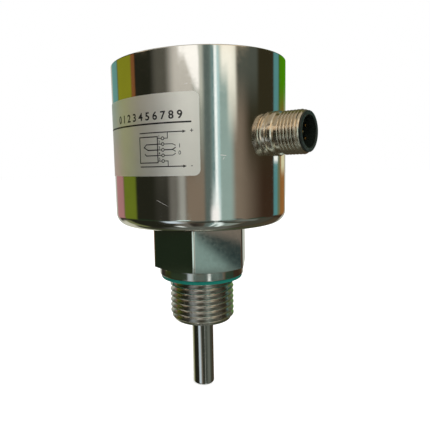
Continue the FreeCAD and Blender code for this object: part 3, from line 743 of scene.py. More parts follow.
class FLOW_OT_fitting(bpy.types.Operator):
    """Process fitting: pipe thread, collar, hexagon with turned corners and spigot"""
    bl_idname = "flow.fitting"
    bl_label = "Process fitting"

    def execute(self, context):
        size = settings(context).fitting
        flat_r = size.across_flats / 2
        rows_per_turn = 22
        rows = int(rows_per_turn * (size.thread_start - THREAD_END) / size.pitch)
        web_top = THREAD_END + size.web
        section = rounded([
            (PROBE_R, THREAD_END), (size.thread - size.end_chamfer, THREAD_END, 0.15 * MM),
            (size.thread, THREAD_END + size.end_chamfer, 0, rows),
            (size.thread, size.thread_start), (size.neck, SEAL_BOTTOM),
            (size.neck, SEAL_TOP), (size.collar, SEAL_TOP, 0.2 * MM),
            (size.collar, size.hex_foot, 0.1 * MM), (flat_r, size.hex_foot, 0, 8),
            (HEX_R, size.hex_foot + size.hex_chamfer, 0, 6),
            (HEX_R, BODY_BOTTOM), (size.spigot, BODY_BOTTOM),
            (size.spigot, SPIGOT_TOP, 0.2 * MM), (size.bore, SPIGOT_TOP),
            (size.bore, web_top), (PROBE_R, web_top),
        ])
        thread_top = size.thread_start - 0.01 * MM

        def radius_at(r, h, a):
            cut = size.thread - thread_depth(h, a, size.pitch, size.depth, PIPE_KEEN)
            fade = 1 - np.clip((h - thread_top + 0.25 * MM) / (0.25 * MM), 0, 1)
            threaded = (h < size.thread_start) & (r > size.thread - size.end_chamfer - 0.1 * MM)
            r = np.where(threaded, np.minimum(r, cut * fade + r * (1 - fade)), r)
            away = np.mod(a / DEG, 60) - 30
            flats = flat_r / np.cos(away * DEG)
            hexed = (h > size.hex_foot - 0.001 * MM) & (r > flat_r + 0.001 * MM)
            return np.where(hexed, soft_min(flats, r, 0.03 * MM), r)

        corner_half = 30 - math.acos(flat_r / HEX_R) / DEG
        piece = mesh_piece("fitting", [turned(section, hexagon_angles(corner_half),
                                              radius_at=radius_at)], sharp=25.0)
        steel = tooled_metal("turned_steel", settings(context).finish.turned, 0.08, spread=0.02,
                             across=(60.0, 60.0, 12000.0), lines=0.04,
                             worn=(SEAL_BOTTOM, 0.13))
        seat(piece, "process_fitting", steel)
        return {"FINISHED"}


class FLOW_OT_seal(bpy.types.Operator):
    """Green sealing ring under the collar"""
    bl_idname = "flow.seal"
    bl_label = "Sealing ring"

    def execute(self, context):
        inner = settings(context).fitting.thread + 0.1 * MM
        section = rounded([
            (inner, SEAL_BOTTOM, 0.1 * MM), (SEAL_R, SEAL_BOTTOM, 0.3 * MM),
            (SEAL_R, SEAL_TOP, 0.3 * MM), (inner, SEAL_TOP, 0.1 * MM),
        ])
        piece = mesh_piece("seal", [turned(section, around(192))])
        rubber = plain_finish("green_seal", settings(context).finish.seal, 0.5, scale=900.0,
                              Specular_IOR_Level=0.25)
        seat(piece, "sealing_ring", rubber)
        return {"FINISHED"}


class FLOW_OT_probe(bpy.types.Operator):
    """Probe: a thin closed tube with a rounded tip edge"""
    bl_idname = "flow.probe"
    bl_label = "Probe"

    def execute(self, context):
        size = settings(context).probe
        hollow = PROBE_R - size.wall
        section = rounded([
            (0, PROBE_TIP), (PROBE_R, PROBE_TIP, size.tip_edge), (PROBE_R, PROBE_TOP),
            (hollow, PROBE_TOP), (hollow, PROBE_TIP + size.tip_wall, 0.2 * MM),
            (0, PROBE_TIP + size.tip_wall),
        ], steps=8, closed=False)
        piece = mesh_piece("probe", [turned(section, around(128), closed=False)])
        steel = tooled_metal("probe_steel", settings(context).finish.turned, 0.10,
                             across=(900.0, 900.0, 60.0), lines=0.05)
        seat(piece, "probe_sheath", steel)
        return {"FINISHED"}


class FLOW_OT_cover(bpy.types.Operator):
    """Bezel, window gasket and indicator lamps"""
    bl_idname = "flow.cover"
    bl_label = "Cover"

    def execute(self, context):
        size = settings(context).cover
        finish = settings(context).finish
        bezel = rounded([
            (size.recess, FACEPLATE_TOP), (BEZEL_R, FACEPLATE_TOP),
            (BEZEL_R, BEZEL_TOP, size.edge), (size.opening, BEZEL_TOP, size.edge),
            (size.opening, WINDOW_TOP), (size.recess, WINDOW_TOP),
        ])
        ring = mesh_piece("bezel", [turned(bezel, around(288))])
        steel = tooled_metal("bezel_steel", finish.steel, 0.09, across=(50.0, 50.0, 9000.0))
        seat(ring, "bezel_ring", steel)
        outer = high("window_gasket")[0]
        gasket = rounded([
            (outer - size.gasket_width, low("window_gasket")[2], 0.1 * MM),
            (outer, low("window_gasket")[2], 0.1 * MM),
            (outer, high("window_gasket")[2], 0.1 * MM),
            (outer - size.gasket_width, high("window_gasket")[2], 0.1 * MM),
        ], steps=3)
        pad = mesh_piece("gasket", [turned(gasket, around(192))])
        rubber = plain_finish("black_rubber", finish.rubber, 0.5, scale=700.0)
        seat(pad, "window_gasket", rubber)
        self.lamps(size)
        return {"FINISHED"}

    def lamps(self, size):
        kinds = [("lamp_red", (200, 24, 16), [0]), ("lamp_yellow", (232, 168, 20), [1]),
                 ("lamp_green", (44, 168, 60), [2, 3, 4, 5])]
        leg_r = 0.25 * MM
        leg_offset = 0.635 * MM
        for node, rgb, places in kinds:
            dome_top = high(node)[2]
            foot = dome_top - size.lamp - size.lamp_body
            flange_top = foot + 0.8 * MM
            body = rounded([
                (0, foot), (size.lamp_flange, foot, 0.1 * MM),
                (size.lamp_flange, flange_top, 0.15 * MM), (size.lamp, flange_top),
                (size.lamp, dome_top, size.lamp), (0, dome_top),
            ], steps=8, closed=False)
            leg = rounded([(0, low(node)[2]), (leg_r, low(node)[2], 0.04 * MM),
                           (leg_r, foot + 0.1 * MM), (0, foot + 0.1 * MM)],
                          steps=2, closed=False)
            parts = []
            for i in places:
                turn = size.lamp_first + size.lamp_step * i
                x, y = size.lamp_arc * math.cos(turn), size.lamp_arc * math.sin(turn)
                parts.append(moved(turned(body, around(40), closed=False), x, y))
                for side in (-leg_offset, leg_offset):
                    parts.append(moved(turned(leg, around(12), closed=False), x + side, y))
            piece = mesh_piece(node + "_lens", parts)
            lens = plain_finish(node + "_lens", display(*rgb), 0.16, spread=0.04, shade=0.7,
                                Coat_Weight=0.4)
            seat(piece, node, lens)


def slotted_head(radius, z0, z1, slot_width, slot_depth, edge):
    """Disc head with a straight slot, on rows of constant y.

    A row reaches x = +-sqrt(r^2 - y^2). Two rows with the same y and different heights make
    each wall of the slot, and the rim's rounding follows the same rows.
    """
    half = slot_width / 2
    y = radius * np.sin(np.linspace(-0.5, 0.5, 60) * math.pi)
    y = y[np.abs(y) > half + 0.05 * MM]
    outside_low, outside_high = y[y < 0], y[y > 0]
    walls = np.array([-half, -half, -half + 0.02 * MM, half - 0.02 * MM, half, half])
    depth = np.array([0, slot_depth, slot_depth, slot_depth, slot_depth, 0])
    ys = np.concatenate([outside_low, walls, outside_high])
    sink = np.concatenate([0 * outside_low, depth, 0 * outside_high])
    turn = np.linspace(0, math.pi / 2, 5)
    share = np.linspace(-1, 1, 41)

    def row_reach(r):
        return np.sqrt(np.maximum(r * r - ys * ys, 0.0))

    rings = [(radius, z0 + 0 * sink)]
    for t in turn:
        lift = np.where(sink > 0, 0.0, edge * (math.sin(t) - 1))
        rings.append((radius - edge * (1 - math.cos(t)), z1 - sink + lift))
    top_reach = row_reach(rings[-1][0])
    top = np.stack([top_reach[:, None] * share, np.repeat(ys[:, None], len(share), 1),
                    np.repeat((z1 - sink)[:, None], len(share), 1)], -1)
    surfaces = [(top, grid_quads(len(ys), len(share), False, False))]
    for side in (-1, 1):
        wall = np.stack([np.stack([side * row_reach(r), ys, z], -1) for r, z in rings], 0)
        surfaces.append((wall, grid_quads(len(rings), len(ys), False, False)))
    base_reach = row_reach(radius)
    base = np.stack([base_reach[:, None] * share, np.repeat(ys[:, None], len(share), 1),
                     np.full((len(ys), len(share)), z0)], -1)
    surfaces.append((base, grid_quads(len(ys), len(share), False, False)))
    return surfaces


class FLOW_OT_plug(bpy.types.Operator):
    """Access plug with its thread and slot, the bushing that holds it and its O-ring"""
    bl_idname = "flow.plug"
    bl_label = "Access plug"

    def execute(self, context):
        size = settings(context).plug
        finish = settings(context).finish
        seat_r = size.ring_centre + size.ring + 0.05 * MM
        bushing = rounded([
            (size.bore, BUSHING_LOW, 0.2 * MM), (size.bushing, BUSHING_LOW, 0.2 * MM),
            (size.bushing, WINDOW_TOP), (size.flange, WINDOW_TOP),
            (size.flange, BUSHING_TOP, 0.3 * MM), (seat_r, BUSHING_TOP, 0.08 * MM),
            (seat_r, WINDOW_TOP, 0.05 * MM), (size.bore, WINDOW_TOP, 0.05 * MM),
        ])
        nickel = tooled_metal("bushing_nickel", finish.nickel, 0.14, spread=0.04)
        piece = mesh_piece("bushing", [moved(turned(bushing, around(128)), y=PLUG_Y)])
        seat(piece, "plug_bushing", nickel)

        head_low = PLUG_TOP - size.head_height
        chamfer = 0.35 * MM
        rows = int(20 * (head_low - PLUG_LOW) / size.pitch)
        shank = rounded([
            (0, PLUG_LOW), (size.shank - chamfer, PLUG_LOW),
            (size.shank, PLUG_LOW + chamfer, 0, rows), (size.shank, head_low),
            (size.shank - size.depth, head_low + 0.2 * MM), (0, head_low + 0.2 * MM),
        ], closed=False)

        def radius_at(r, h, a):
            cut = size.shank - thread_depth(h, a, size.pitch, size.depth, PLUG_KEEN)
            return np.where(h < head_low, np.minimum(r, cut), r)

        parts = [moved(turned(shank, around(96), closed=False, radius_at=radius_at), y=PLUG_Y)]
        head = slotted_head(size.head, head_low, PLUG_TOP, size.slot_width, size.slot_depth,
                            0.3 * MM)
        parts += [moved(surface, y=PLUG_Y) for surface in head]
        plug = mesh_piece("plug", parts)
        steel = tooled_metal("plug_steel", finish.turned, 0.16, spread=0.05,
                             across=(2500.0, 60.0, 2500.0))
        seat(plug, "access_plug", steel, "plug")

        level = (low("plug_oring")[2] + high("plug_oring")[2]) / 2
        ring = mesh_piece("plug_ring", [moved(torus(size.ring_centre, size.ring, level,
                                                    around(96)), y=PLUG_Y)])
        rubber = plain_finish("plug_rubber", finish.rubber, 0.45, scale=900.0)
        seat(ring, "plug_oring", rubber, "plug_carrier")
        return {"FINISHED"}


class FLOW_OT_connector(bpy.types.Operator):
    """Cable connector: threaded shell, black nose and pins"""
    bl_idname = "flow.connector"
    bl_label = "Cable connector"

    def execute(self, context):
        size = settings(context).connector
        finish = settings(context).finish
        rows = int(24 * (SHELL_END - size.thread_start) / size.pitch)
        small = 0.07 * MM
        groove_low = low("connector_oring")[0] - 0.05 * MM
        groove_high = high("connector_oring")[0] + 0.05 * MM
        ridge_side = size.body - size.ridge_edge
        section = rounded([
            (size.bore, SHELL_BACK), (size.tail, SHELL_BACK, small),
            (size.tail, size.flange_back), (size.flange, size.flange_back, small),
            (size.flange, size.flange_face, small), (size.body, size.flange_face),
            (size.body, groove_low), (size.groove, groove_low), (size.groove, groove_high),
            (size.body, groove_high), (size.body, size.face, small), (size.waist, size.face),
            (size.waist, size.ridge_start), (ridge_side, size.ridge_start),
            (size.body, size.ridge_start + size.ridge_edge, small),
            (size.body, size.ridge_end - size.ridge_edge, small), (ridge_side, size.ridge_end),
            (size.relief, size.ridge_end), (size.relief, size.thread_start),
            (size.thread, size.thread_start, 0, rows),
            (size.thread, SHELL_END - size.end_chamfer, 0, 8),
            (size.thread - size.end_chamfer, SHELL_END, small), (size.bore, SHELL_END, small),
        ])

        def radius_at(r, h, a):
            cut = size.thread - thread_depth(h, a, size.pitch, size.depth, CONNECTOR_KEEN)
            threaded = (h > size.thread_start - 0.001 * MM) & (r > size.relief + 0.02 * MM)
            return np.where(threaded, np.minimum(r, cut), r)

        shell = mesh_piece("shell", [to_port(turned(section, around(192), radius_at=radius_at))],
                           sharp=40.0)
        nickel = tooled_metal("shell_nickel", finish.nickel, 0.2, spread=0.05,
                              across=(9000.0, 60.0, 60.0), lines=0.08)
        seat(shell, "connector_shell", nickel)

        rim = SHELL_END + 0.05 * MM
        nose = rounded([
            (size.socket, NOSE_BACK), (size.sleeve, NOSE_BACK), (size.sleeve, rim),
            (size.nose, rim, 0.08 * MM), (size.nose, NOSE_END, 0.22 * MM),
            (size.socket, NOSE_END, 0.18 * MM),
        ])
        key = key_bar(size)
        black = plain_finish("black_plastic", finish.plastic, 0.36, spread=0.1, scale=700.0)
        sleeve = mesh_piece("nose", [to_port(turned(nose, around(160))), to_port(key)])
        seat(sleeve, "connector_nose", black)

        pin = rounded([
            (0, PIN_BACK), (size.pin, PIN_BACK, 0.06 * MM), (size.pin, PIN_END, 0.42 * MM),
            (0, PIN_END),
        ], steps=6, closed=False)
        spots = [(size.pin_circle * math.cos((45 + 90 * k) * DEG),
                  size.pin_circle * math.sin((45 + 90 * k) * DEG)) for k in range(4)]
        pins = [to_port(moved(turned(pin, around(28), closed=False), x, y))
                for x, y in spots + [(0.0, 0.0)]]
        # The pins' gold is darkened: painted shade of the socket they stand in
        gold = plain_finish("gold_contact", finish.gold, 0.18, spread=0.05, metallic=1.0,
                            shade=0.92)
        seat(mesh_piece("pins", pins), "connector_pins", gold)
        return {"FINISHED"}


def key_bar(size):
    """Coding key: a bar along the socket, each ring of it a rounded rectangle."""
    half = size.key_width / 2
    edge = 0.15 * MM
    x0, x1 = -size.socket - 0.3 * MM, size.key_height - size.socket
    outline = rounded([(x0, -half), (x1, -half, edge), (x1, half, edge), (x0, half)], steps=4)
    levels = np.array([NOSE_BACK, NOSE_END - size.key_set_back - edge,
                       NOSE_END - size.key_set_back])
    shrink = np.array([0.0, 0.0, edge])
    middle = outline.mean(0)
    rings = []
    for level, less in zip(levels, shrink):
        ring = middle + (outline - middle) * (1 - less / half)
        rings.append(np.column_stack([ring, np.full(len(ring), level)]))
    ends = [np.repeat(np.append(middle, level)[None, :], len(outline), 0)
            for level in (levels[0], levels[-1])]
    grid = np.stack([ends[0], *rings, ends[1]])
    return grid.reshape(-1, 3), grid_quads(len(grid), len(outline), False, True)


# Label

def on_wall(across, height, radius):
    """Wraps the label's plane round the housing; across is measured back from its near edge."""
    turn = settings(bpy.context).label.last - across / BODY_R
    return np.stack([radius * np.cos(turn), radius * np.sin(turn), height], -1)


def film(size, outer):
    """Film with rounded corners: rows of height whose ends draw in by c - sqrt(c^2 - d^2)."""
    c = size.corner
    sweep = (size.last - size.first) * BODY_R
    bend = c * (1 - np.cos(np.linspace(0, math.pi / 2, 9)))
    rows = np.concatenate([LABEL_BOTTOM + bend,
                           np.linspace(LABEL_BOTTOM + c, LABEL_TOP - c, 24)[1:-1],
                           (LABEL_TOP - bend)[::-1]])
    into = np.maximum(c - np.minimum(rows - LABEL_BOTTOM, LABEL_TOP - rows), 0)
    inset = c - np.sqrt(np.maximum(c * c - into * into, 0))
    share = np.linspace(0, 1, 121)
    across = inset[:, None] + share * (sweep - 2 * inset)[:, None]
    height = np.repeat(rows[:, None], len(share), 1)
    inner = BODY_R + size.gap
    faces = [on_wall(across, height, r) for r in (inner, outer)]
    quads = grid_quads(len(rows), len(share), False, False)
    surfaces = [(f, quads) for f in faces]
    rim = [(slice(None), 0), (slice(None), -1), (0, slice(None)), (-1, slice(None))]
    for pick in rim:
        band = np.stack([faces[0][pick], faces[1][pick]])
        surfaces.append((band, grid_quads(2, band.shape[1], False, False)))
    return surfaces


def stroke(points, width, inner, outer, closed=False):
    """Printed line: a ribbon whose sides stand half a width off, mitred at each corner.

    The mitre is the mean of the two sides' normals divided by one plus their product. The
    ribbon is cut into pieces of at most half a millimetre, so that it follows the wall.
    """
    points = np.array(points, float) * MM
    width = np.broadcast_to(np.array(width, float), (len(points),)) * MM
    if closed:
        points, width = np.vstack([points, points[:1]]), np.append(width, width[0])
    sides = np.diff(points, axis=0)
    sides /= np.linalg.norm(sides, axis=1)[:, None]
    normals = np.stack([-sides[:, 1], sides[:, 0]], -1)
    before = np.vstack([normals[-1:] if closed else normals[:1], normals])
    after = np.vstack([normals, normals[:1] if closed else normals[-1:]])
    mitre = (before + after) / (1 + (before * after).sum(1))[:, None]
    reach = np.concatenate([[0], np.cumsum(np.linalg.norm(np.diff(points, axis=0), axis=1))])
    fine = np.unique(np.concatenate([reach, np.arange(0, reach[-1], 0.5 * MM)]))
    edges = []
    for sign in (-0.5, 0.5):
        line = points + sign * mitre * width[:, None]
        edges.append([np.interp(fine, reach, line[:, k]) for k in (0, 1)])
    corners = [on_wall(*edges[0], outer), on_wall(*edges[1], outer),
               on_wall(*edges[1], inner), on_wall(*edges[0], inner)]
    ribbon = np.stack(corners)
    surfaces = [(ribbon, grid_quads(4, len(fine), True, False))]
    if not closed:
        for end in (0, -1):
            surfaces.append((ribbon[:, end], np.array([[0, 1, 2, 3]])))
    return surfaces


def ring_mark(across, height, radius, line, inner, outer):
    a = around(16)
    ring = np.stack([across + radius * np.cos(a), height + radius * np.sin(a)], -1)
    return stroke(ring, line, inner, outer, closed=True)


def printed_text(words, across, height, tall, inner, outer, squeeze, weight):
    """Figures in the plain built-in face, laid on the wall with their left end at a place."""
    curve = bpy.data.curves.new("figures", "FONT")
    curve.body = words
    curve.size = 1.0
    curve.extrude = 0.5
    curve.offset = weight
    holder = bpy.data.objects.new("figures", curve)
    bpy.context.scene.collection.objects.link(holder)
    bpy.context.view_layer.update()
    depsgraph = bpy.context.evaluated_depsgraph_get()
    mesh = bpy.data.meshes.new_from_object(holder.evaluated_get(depsgraph))
    co = np.zeros(len(mesh.vertices) * 3)
    mesh.vertices.foreach_get("co", co)
    co = co.reshape(-1, 3)
    scale = tall * MM / 0.7
    radius = np.where(co[:, 2] > 0, outer, inner)
    wrapped = on_wall(across * MM - co[:, 0] * scale * squeeze, height * MM + co[:, 1] * scale,
                      radius)
    mesh.vertices.foreach_set("co", wrapped.astype(np.float32).ravel())
    mesh.update()
    bpy.data.objects.remove(holder)
    return mesh


def diagram(size, inner, outer):
    """Wiring diagram: supply lines, terminal box, five rings and a changeover contact.

    Places are millimetres back from the label's near edge, and heights over Z = 0.
    """
    line = size.hairline / MM
    bold = line * 1.35
    box_left, box_right, box_top, box_bottom = 17.4, 11.55, 43.95, 37.1
    ring_x, ring_r = 10.0, 0.38
    levels = TERMINAL_LEVELS
    plus, minus, line_end = 45.05, 36.05, 3.6
    out = []

    def draw(points, width=line, closed=False):
        out.extend(stroke(points, width, inner, outer, closed))

    for level in (plus, minus):
        draw([(box_left, level), (line_end + 0.8, level)], bold)
        draw([(line_end + 0.9, level), (line_end, level)], [0.75, 0.05])
    draw([(box_left, box_top), (box_right, box_top), (box_right, box_bottom),
          (box_left, box_bottom)], bold, closed=True)
    for level in levels:
        out.extend(ring_mark(ring_x, level, ring_r, line, inner, outer))
        draw([(box_right, level), (ring_x + ring_r, level)])
    for level, rail in ((levels[0], plus), (levels[-1], minus)):
        draw([(ring_x - ring_r, level), (8.6, level), (8.6, rail)])
    draw([(box_right, levels[1]), (15.1, levels[1]), (15.9, 41.2), (14.6, levels[2]),
          (box_right, levels[2])], bold)
    draw([(box_right, levels[3]), (15.2, levels[3]), (15.7, 39.5)], bold)
    draw([(ring_x - ring_r, levels[1]), (7.3, levels[1]), (6.4, 41.5)])
    draw([(ring_x - ring_r, levels[2]), (7.3, levels[2]), (6.4, 41.0)], bold)
    draw([(7.3, levels[2]), (6.4, 39.95)])
    draw([(ring_x - ring_r, levels[3]), (7.2, levels[3]), (6.4, 39.45)])
    return out


class FLOW_OT_label(bpy.types.Operator):
    """Rating label: film on the wall with a header rule, plain figures and a diagram"""
    bl_idname = "flow.label"
    bl_label = "Label"

    def execute(self, context):
        size = settings(context).label
        finish = settings(context).finish
        ink_top = LABEL_R - 0.002 * MM
        film_top = ink_top - size.ink
        sheet = mesh_piece("label", film(size, film_top), sharp=50.0)
        foil = plain_finish("label_film", finish.film, 0.42, spread=0.04, scale=260.0,
                            shade=0.97, metallic=0.85)
        seat(sheet, "label_foil", foil)

        root = film_top - 0.02 * MM
        black = plain_finish("label_ink", finish.ink, 0.45, scale=900.0)
        rule_end = (size.last - size.first) * BODY_R / MM - 1.6
        strokes = stroke([(rule_end, 47.3), (2.1, 47.45)], size.rule / MM, root, ink_top)
        strokes += diagram(size, root, ink_top)
        self.print_on_film(mesh_piece("label_lines", strokes, sharp=50.0), black)
        self.print_on_film(self.figures(context, root, ink_top), black)
        return {"FINISHED"}

    def print_on_film(self, piece, ink):
        dress(piece, ink)
        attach(piece, "root")

    def figures(self, context, root, ink_top):
        """All figures as one piece: words, place across and up, height, squeeze and weight."""
        words = [("0 1 2 3 4 5 6 7 8 9", 27.0, 48.45, 2.05, 1.03, 0.022)]
        for k, level in enumerate(TERMINAL_LEVELS):
            words.append((str(k + 1), 11.3, level + 0.2, 0.75, 0.9, 0.01))
        words += [("+", 2.6, 44.6, 1.2, 1.0, 0.01), ("-", 2.5, 35.7, 1.2, 1.0, 0.01),
                  ("1", 5.7, 40.95, 1.0, 1.0, 0.01), ("0", 5.7, 39.1, 1.0, 1.0, 0.01)]
        meshes = [printed_text(word, across, height, tall, root, ink_top, squeeze, weight)
                  for word, across, height, tall, squeeze, weight in words]
        work = bmesh.new()
        for mesh in meshes:
            work.from_mesh(mesh)
            bpy.data.meshes.remove(mesh)
        bmesh.ops.remove_doubles(work, verts=work.verts, dist=1e-7)
        bmesh.ops.recalc_face_normals(work, faces=work.faces)
        joined = bpy.data.meshes.new("label_figures")
        work.to_mesh(joined)
        work.free()
        figures = bpy.data.objects.new("label_figures", joined)
        context.scene.collection.objects.link(figures)
        return figures


# Finishes of the nodes whose own shape stays

class FLOW_OT_inner_finishes(bpy.types.Operator):
    """Finishes of the window, faceplate and everything inside the housing"""
    bl_idname = "flow.inner_finishes"
    bl_label = "Inner finishes"

    def execute(self, context):
        finish = settings(context).finish
        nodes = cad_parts

        def give(material, *names):
            for name in names:
                dress(nodes[name], material)

        give(clear_plastic("clear_window"), "window_disc")
        give(plain_finish("faceplate_black", display(38, 38, 42), 0.5), "faceplate")
        give(plain_finish("carrier_plastic", finish.plastic, 0.4), "connector_insert",
             "ribbon_sockets")
        give(plain_finish("connector_rubber", finish.rubber, 0.45, scale=900.0), "connector_oring")
        give(tooled_metal("nut_nickel", finish.nickel, 0.2), "bushing_nut")
        give(tooled_metal("screw_steel", finish.turned, 0.22), "board_screws")
        give(plain_finish("board_laminate", finish.laminate, 0.3, Coat_Weight=0.4), "main_board",
             "display_board")
        give(plain_finish("brass_pillar", display(206, 170, 96), 0.25, metallic=1.0),
             "lower_standoffs", "upper_standoffs")
        give(plain_finish("wire_insulation", display(176, 176, 168), 0.5), "connector_wires",
             "sensor_leads", "ribbon_cable")
        give(plain_finish("sensing_ceramic", display(236, 236, 230), 0.6), "heated_element",
             "reference_element")
        give(plain_finish("filling_compound", display(206, 206, 198), 0.7), "probe_filling")
        give(plain_finish("capacitor_sleeve", display(24, 24, 46), 0.3), "supply_capacitors")
        give(plain_finish("ferrite", display(54, 54, 54), 0.6), "supply_inductor")
        give(plain_finish("chip_plastic", display(34, 34, 34), 0.5), "voltage_regulator",
             "controller_chip")
        give(plain_finish("trimmer_blue", display(34, 92, 170), 0.35), "trimmer_body")
        give(plain_finish("trimmer_white", display(226, 226, 220), 0.45), "trimmer_rotor")
        give(plain_finish("relay_plastic", display(44, 112, 178), 0.3), "relay_base",
             "relay_cover")
        give(plain_finish("bobbin_plastic", display(222, 214, 190), 0.45), "relay_bobbin")
        give(plain_finish("copper_winding", display(196, 112, 62), 0.35, metallic=1.0),
             "relay_coil")
        give(tooled_metal("relay_iron", display(190, 186, 176), 0.3), "relay_yoke",
             "relay_armature")
        give(plain_finish("contact_metal", display(222, 196, 150), 0.25, metallic=1.0),
             "relay_terminals", "relay_contact_spring", "relay_fixed_contacts")
        return {"FINISHED"}


# Stage

# Cards on the studio dome, seen only in reflections. Azimuth is measured from the camera's
# side of the object, to its right, and both angles are in degrees: name, display colour,
# middle, half width, softness, low, high, fade, lean.
CARDS = [
    ("pale_back_left", (168, 170, 160), -167, 22, 5, -90, 90, 2, 0),
    ("pale_back_right", (168, 170, 160), 167, 22, 5, -90, 90, 2, 0),
    ("dark_left", (33, 34, 26), -75, 37, 5, -90, 90, 2, 0),
    ("brown_right", (54, 40, 29), 82, 62, 6, -90, 90, 2, 0),
    ("grey_brown_right", (124, 113, 99), 40, 26, 26, -90, 90, 2, 0),
    ("dim_upper_right", (46, 43, 29), 86, 24, 9, 1, 90, 5, 0),
    ("teal_right", (80, 132, 134), 117.5, 7, 2.5, -12, 17, 2, 0),
    ("mixed_right", (98, 108, 84), 126, 5, 2, -12, 7, 4, 0),
    ("green_right_edge", (62, 122, 6), 144, 18, 5, 7, 18, 4, 0),
    ("orange_right_edge", (134, 92, 48), 140, 11, 3, -12, 7, 4, 0),
    ("teal_left_edge", (92, 138, 134), -138, 12, 3, 3, 17, 2, 0),
    ("pink_left_edge", (158, 114, 114), -134, 15, 5, -12, 3, 2, 0),
    ("olive_left", (121, 124, 32), -108, 17, 3, 4, 17.5, 3, 0),
    ("green_left_low", (96, 110, 34), -105, 14, 3, -13, 4, 3, 0),
    ("orange_left", (118, 76, 44), -89, 3.4, 1.6, 5, 17, 2, 0),
    ("dim_left", (46, 46, 40), -48, 11, 6, -90, 90, 2, 0),
    ("mid_grey_left", (80, 79, 71), -38, 18, 6, 2, 90, 8, 0),
    ("soft_grey_left", (102, 101, 95), -28, 11, 4, -90, 4, 5, 0),
    ("light_grey_left", (186, 184, 176), -17, 17, 8, 4, 90, 6, 0),
    ("pale_stripe_low", (150, 152, 146), -22, 4.5, 4, -30, 3, 4, 0),
    ("grey_brown_middle", (121, 109, 95), -5, 12, 3, -30, 2, 5, 0),
    ("middle", (142, 148, 138), 2, 8, 3, 2, 90, 5, 0),
    ("white_wedge", (255, 255, 251), 7.2, 9.6, 1.2, 10.2, 90, 0.6, -3.2),
    ("white_top", (255, 255, 251), -11, 12, 3, 14.5, 90, 0.4, 0),
    ("right_of_wedge", (178, 182, 172), 6.2, 4.6, 1.6, 8.5, 90, 1.5, 0),
    ("dark_middle", (86, 99, 95), 12, 5.6, 2.6, -90, 90, 2, 0),
    ("pale_teal", (140, 163, 158), 30, 13, 5, -90, 90, 2, 0),
    ("cream_right", (228, 229, 216), 42.5, 5.8, 2.8, 6.8, 90, 4.6, 0),
    ("cream_top", (252, 252, 240), 35.5, 8, 4, 12, 90, 2.2, 0),
    ("grey_edge_top", (74, 79, 72), 64, 15.5, 3.5, 9.5, 90, 4, 0),
    ("line_foot", (104, 132, 132), 18.5, 2.2, 1.5, -90, 90, 2, 0),
    ("line_glow", (172, 204, 206), 23.5, 2.6, 1.4, -90, 90, 2, 0),
    ("bright_line", (244, 255, 255), 21.4, 1.7, 0.9, -90, 90, 2, 0),
    ("low_glow", (246, 255, 255), 20.5, 3.8, 3.8, -16, -3.5, 3, 0),
    ("low_flare", (250, 250, 250), 19, 5, 3, -13.9, -5.5, 0.5, 0),
    ("pale_left_low", (186, 187, 170), -152, 30, 8, -38, -20, 4, 0),
    ("olive_left_low", (108, 114, 76), -119, 8, 5, -50, -20, 4, 0),
    ("brown_right_low", (70, 62, 48), 150, 32, 8, -60, -20, 4, 0),
    ("dark_right_low", (64, 64, 55), 92, 24, 6, -66, -17, 4, 0),
    ("grey_green_low", (124, 138, 132), 44, 20, 6, -66, -43, 3, 0),
    ("dark_right_below", (58, 64, 56), 44, 20, 6, -41, -31, 2, 0),
    ("dark_back_left", (60, 66, 48), -160, 24, 8, -66, -38, 4, 0),
    ("dark_back_right", (60, 66, 48), 160, 24, 8, -66, -38, 4, 0),
    ("probe_light", (98, 105, 99), 66, 17, 5, -31, -19, 1.5, 0),
    ("probe_grey", (76, 82, 77), 34, 16, 5, -31, -19, 1.5, 0),
    ("probe_dark", (52, 56, 50), 17, 22, 6, -31, -19, 1.5, -1.67),
    ("probe_stripe", (196, 212, 224), -35, 11, 6, -34, -18, 2, -0.4),
    ("underside", (88, 92, 86), 0, 400, 1, -90, -66, 8, 0),
    ("fillet_flare", (222, 238, 238), 42, 5, 4, -70, -31, 2, -0.46),
    ("fillet_line", (150, 156, 152), 20, 2, 2, -31, -17, 1.5, 0),
    ("fillet_spot", (225, 235, 236), -44, 7, 4, -70, -57, 4, 0),
    ("collar_middle", (86, 101, 97), 18, 42, 5, -17, -14.2, 0.4, 0),
    ("collar_left", (45, 58, 42), -66, 27, 5, -17, -14.2, 0.4, 0),
    ("collar_pale", (176, 192, 198), -32, 6, 4, -17, -14.4, 0.3, 0),
    ("collar_dark_right", (42, 64, 52), 80, 15, 5, -17, -14.2, 0.4, 0),
    ("collar_spark", (244, 255, 255), 20, 3.5, 2.5, -17.5, -14.95, 0.2, 0),
    ("hexagon_left", (30, 40, 28), -78, 12, 3, -14, -8.8, 0.6, 0),
    ("hexagon_corner", (206, 232, 228), -22, 8, 3, -13.8, -8.8, 0.5, 0),
    ("hexagon_pale", (130, 156, 152), 46, 6, 2, -14.3, -8.5, 0.4, 0),
    ("hexagon_dark", (44, 58, 58), 52, 4.5, 1.2, -14.2, -8.5, 0.4, -1.15),
    ("hexagon_strip", (120, 112, 103), 55.4, 5, 1, -10.8, -8.4, 0.4, -4),
    ("ceiling", (170, 165, 150), 0, 400, 1, 44, 90, 8, 0),
    ("olive_edge_high", (74, 78, 58), -150, 28, 8, 19, 60, 3, 0),
    ("grey_edge_high", (84, 86, 76), 150, 28, 8, 19, 60, 3, 0),
    ("peach_left", (232, 208, 176), -74, 8, 4, 18, 38, 3, 0),
    ("peach_right", (226, 204, 172), 42, 22, 5, 17, 38, 3, 0),
    ("olive_high", (84, 86, 50), 112, 13, 4, 20, 56, 4, 0),
    ("white_block", (240, 246, 244), 116.5, 5.5, 1, 0.5, 2.2, 0.3, 0),
    ("cream_strip", (198, 196, 160), 141, 8, 3, -0.8, 3, 1, 0),
]
CARD_BASE = (46, 43, 38)
CARD_LEVEL = 1.32
DOME_R = 3.0


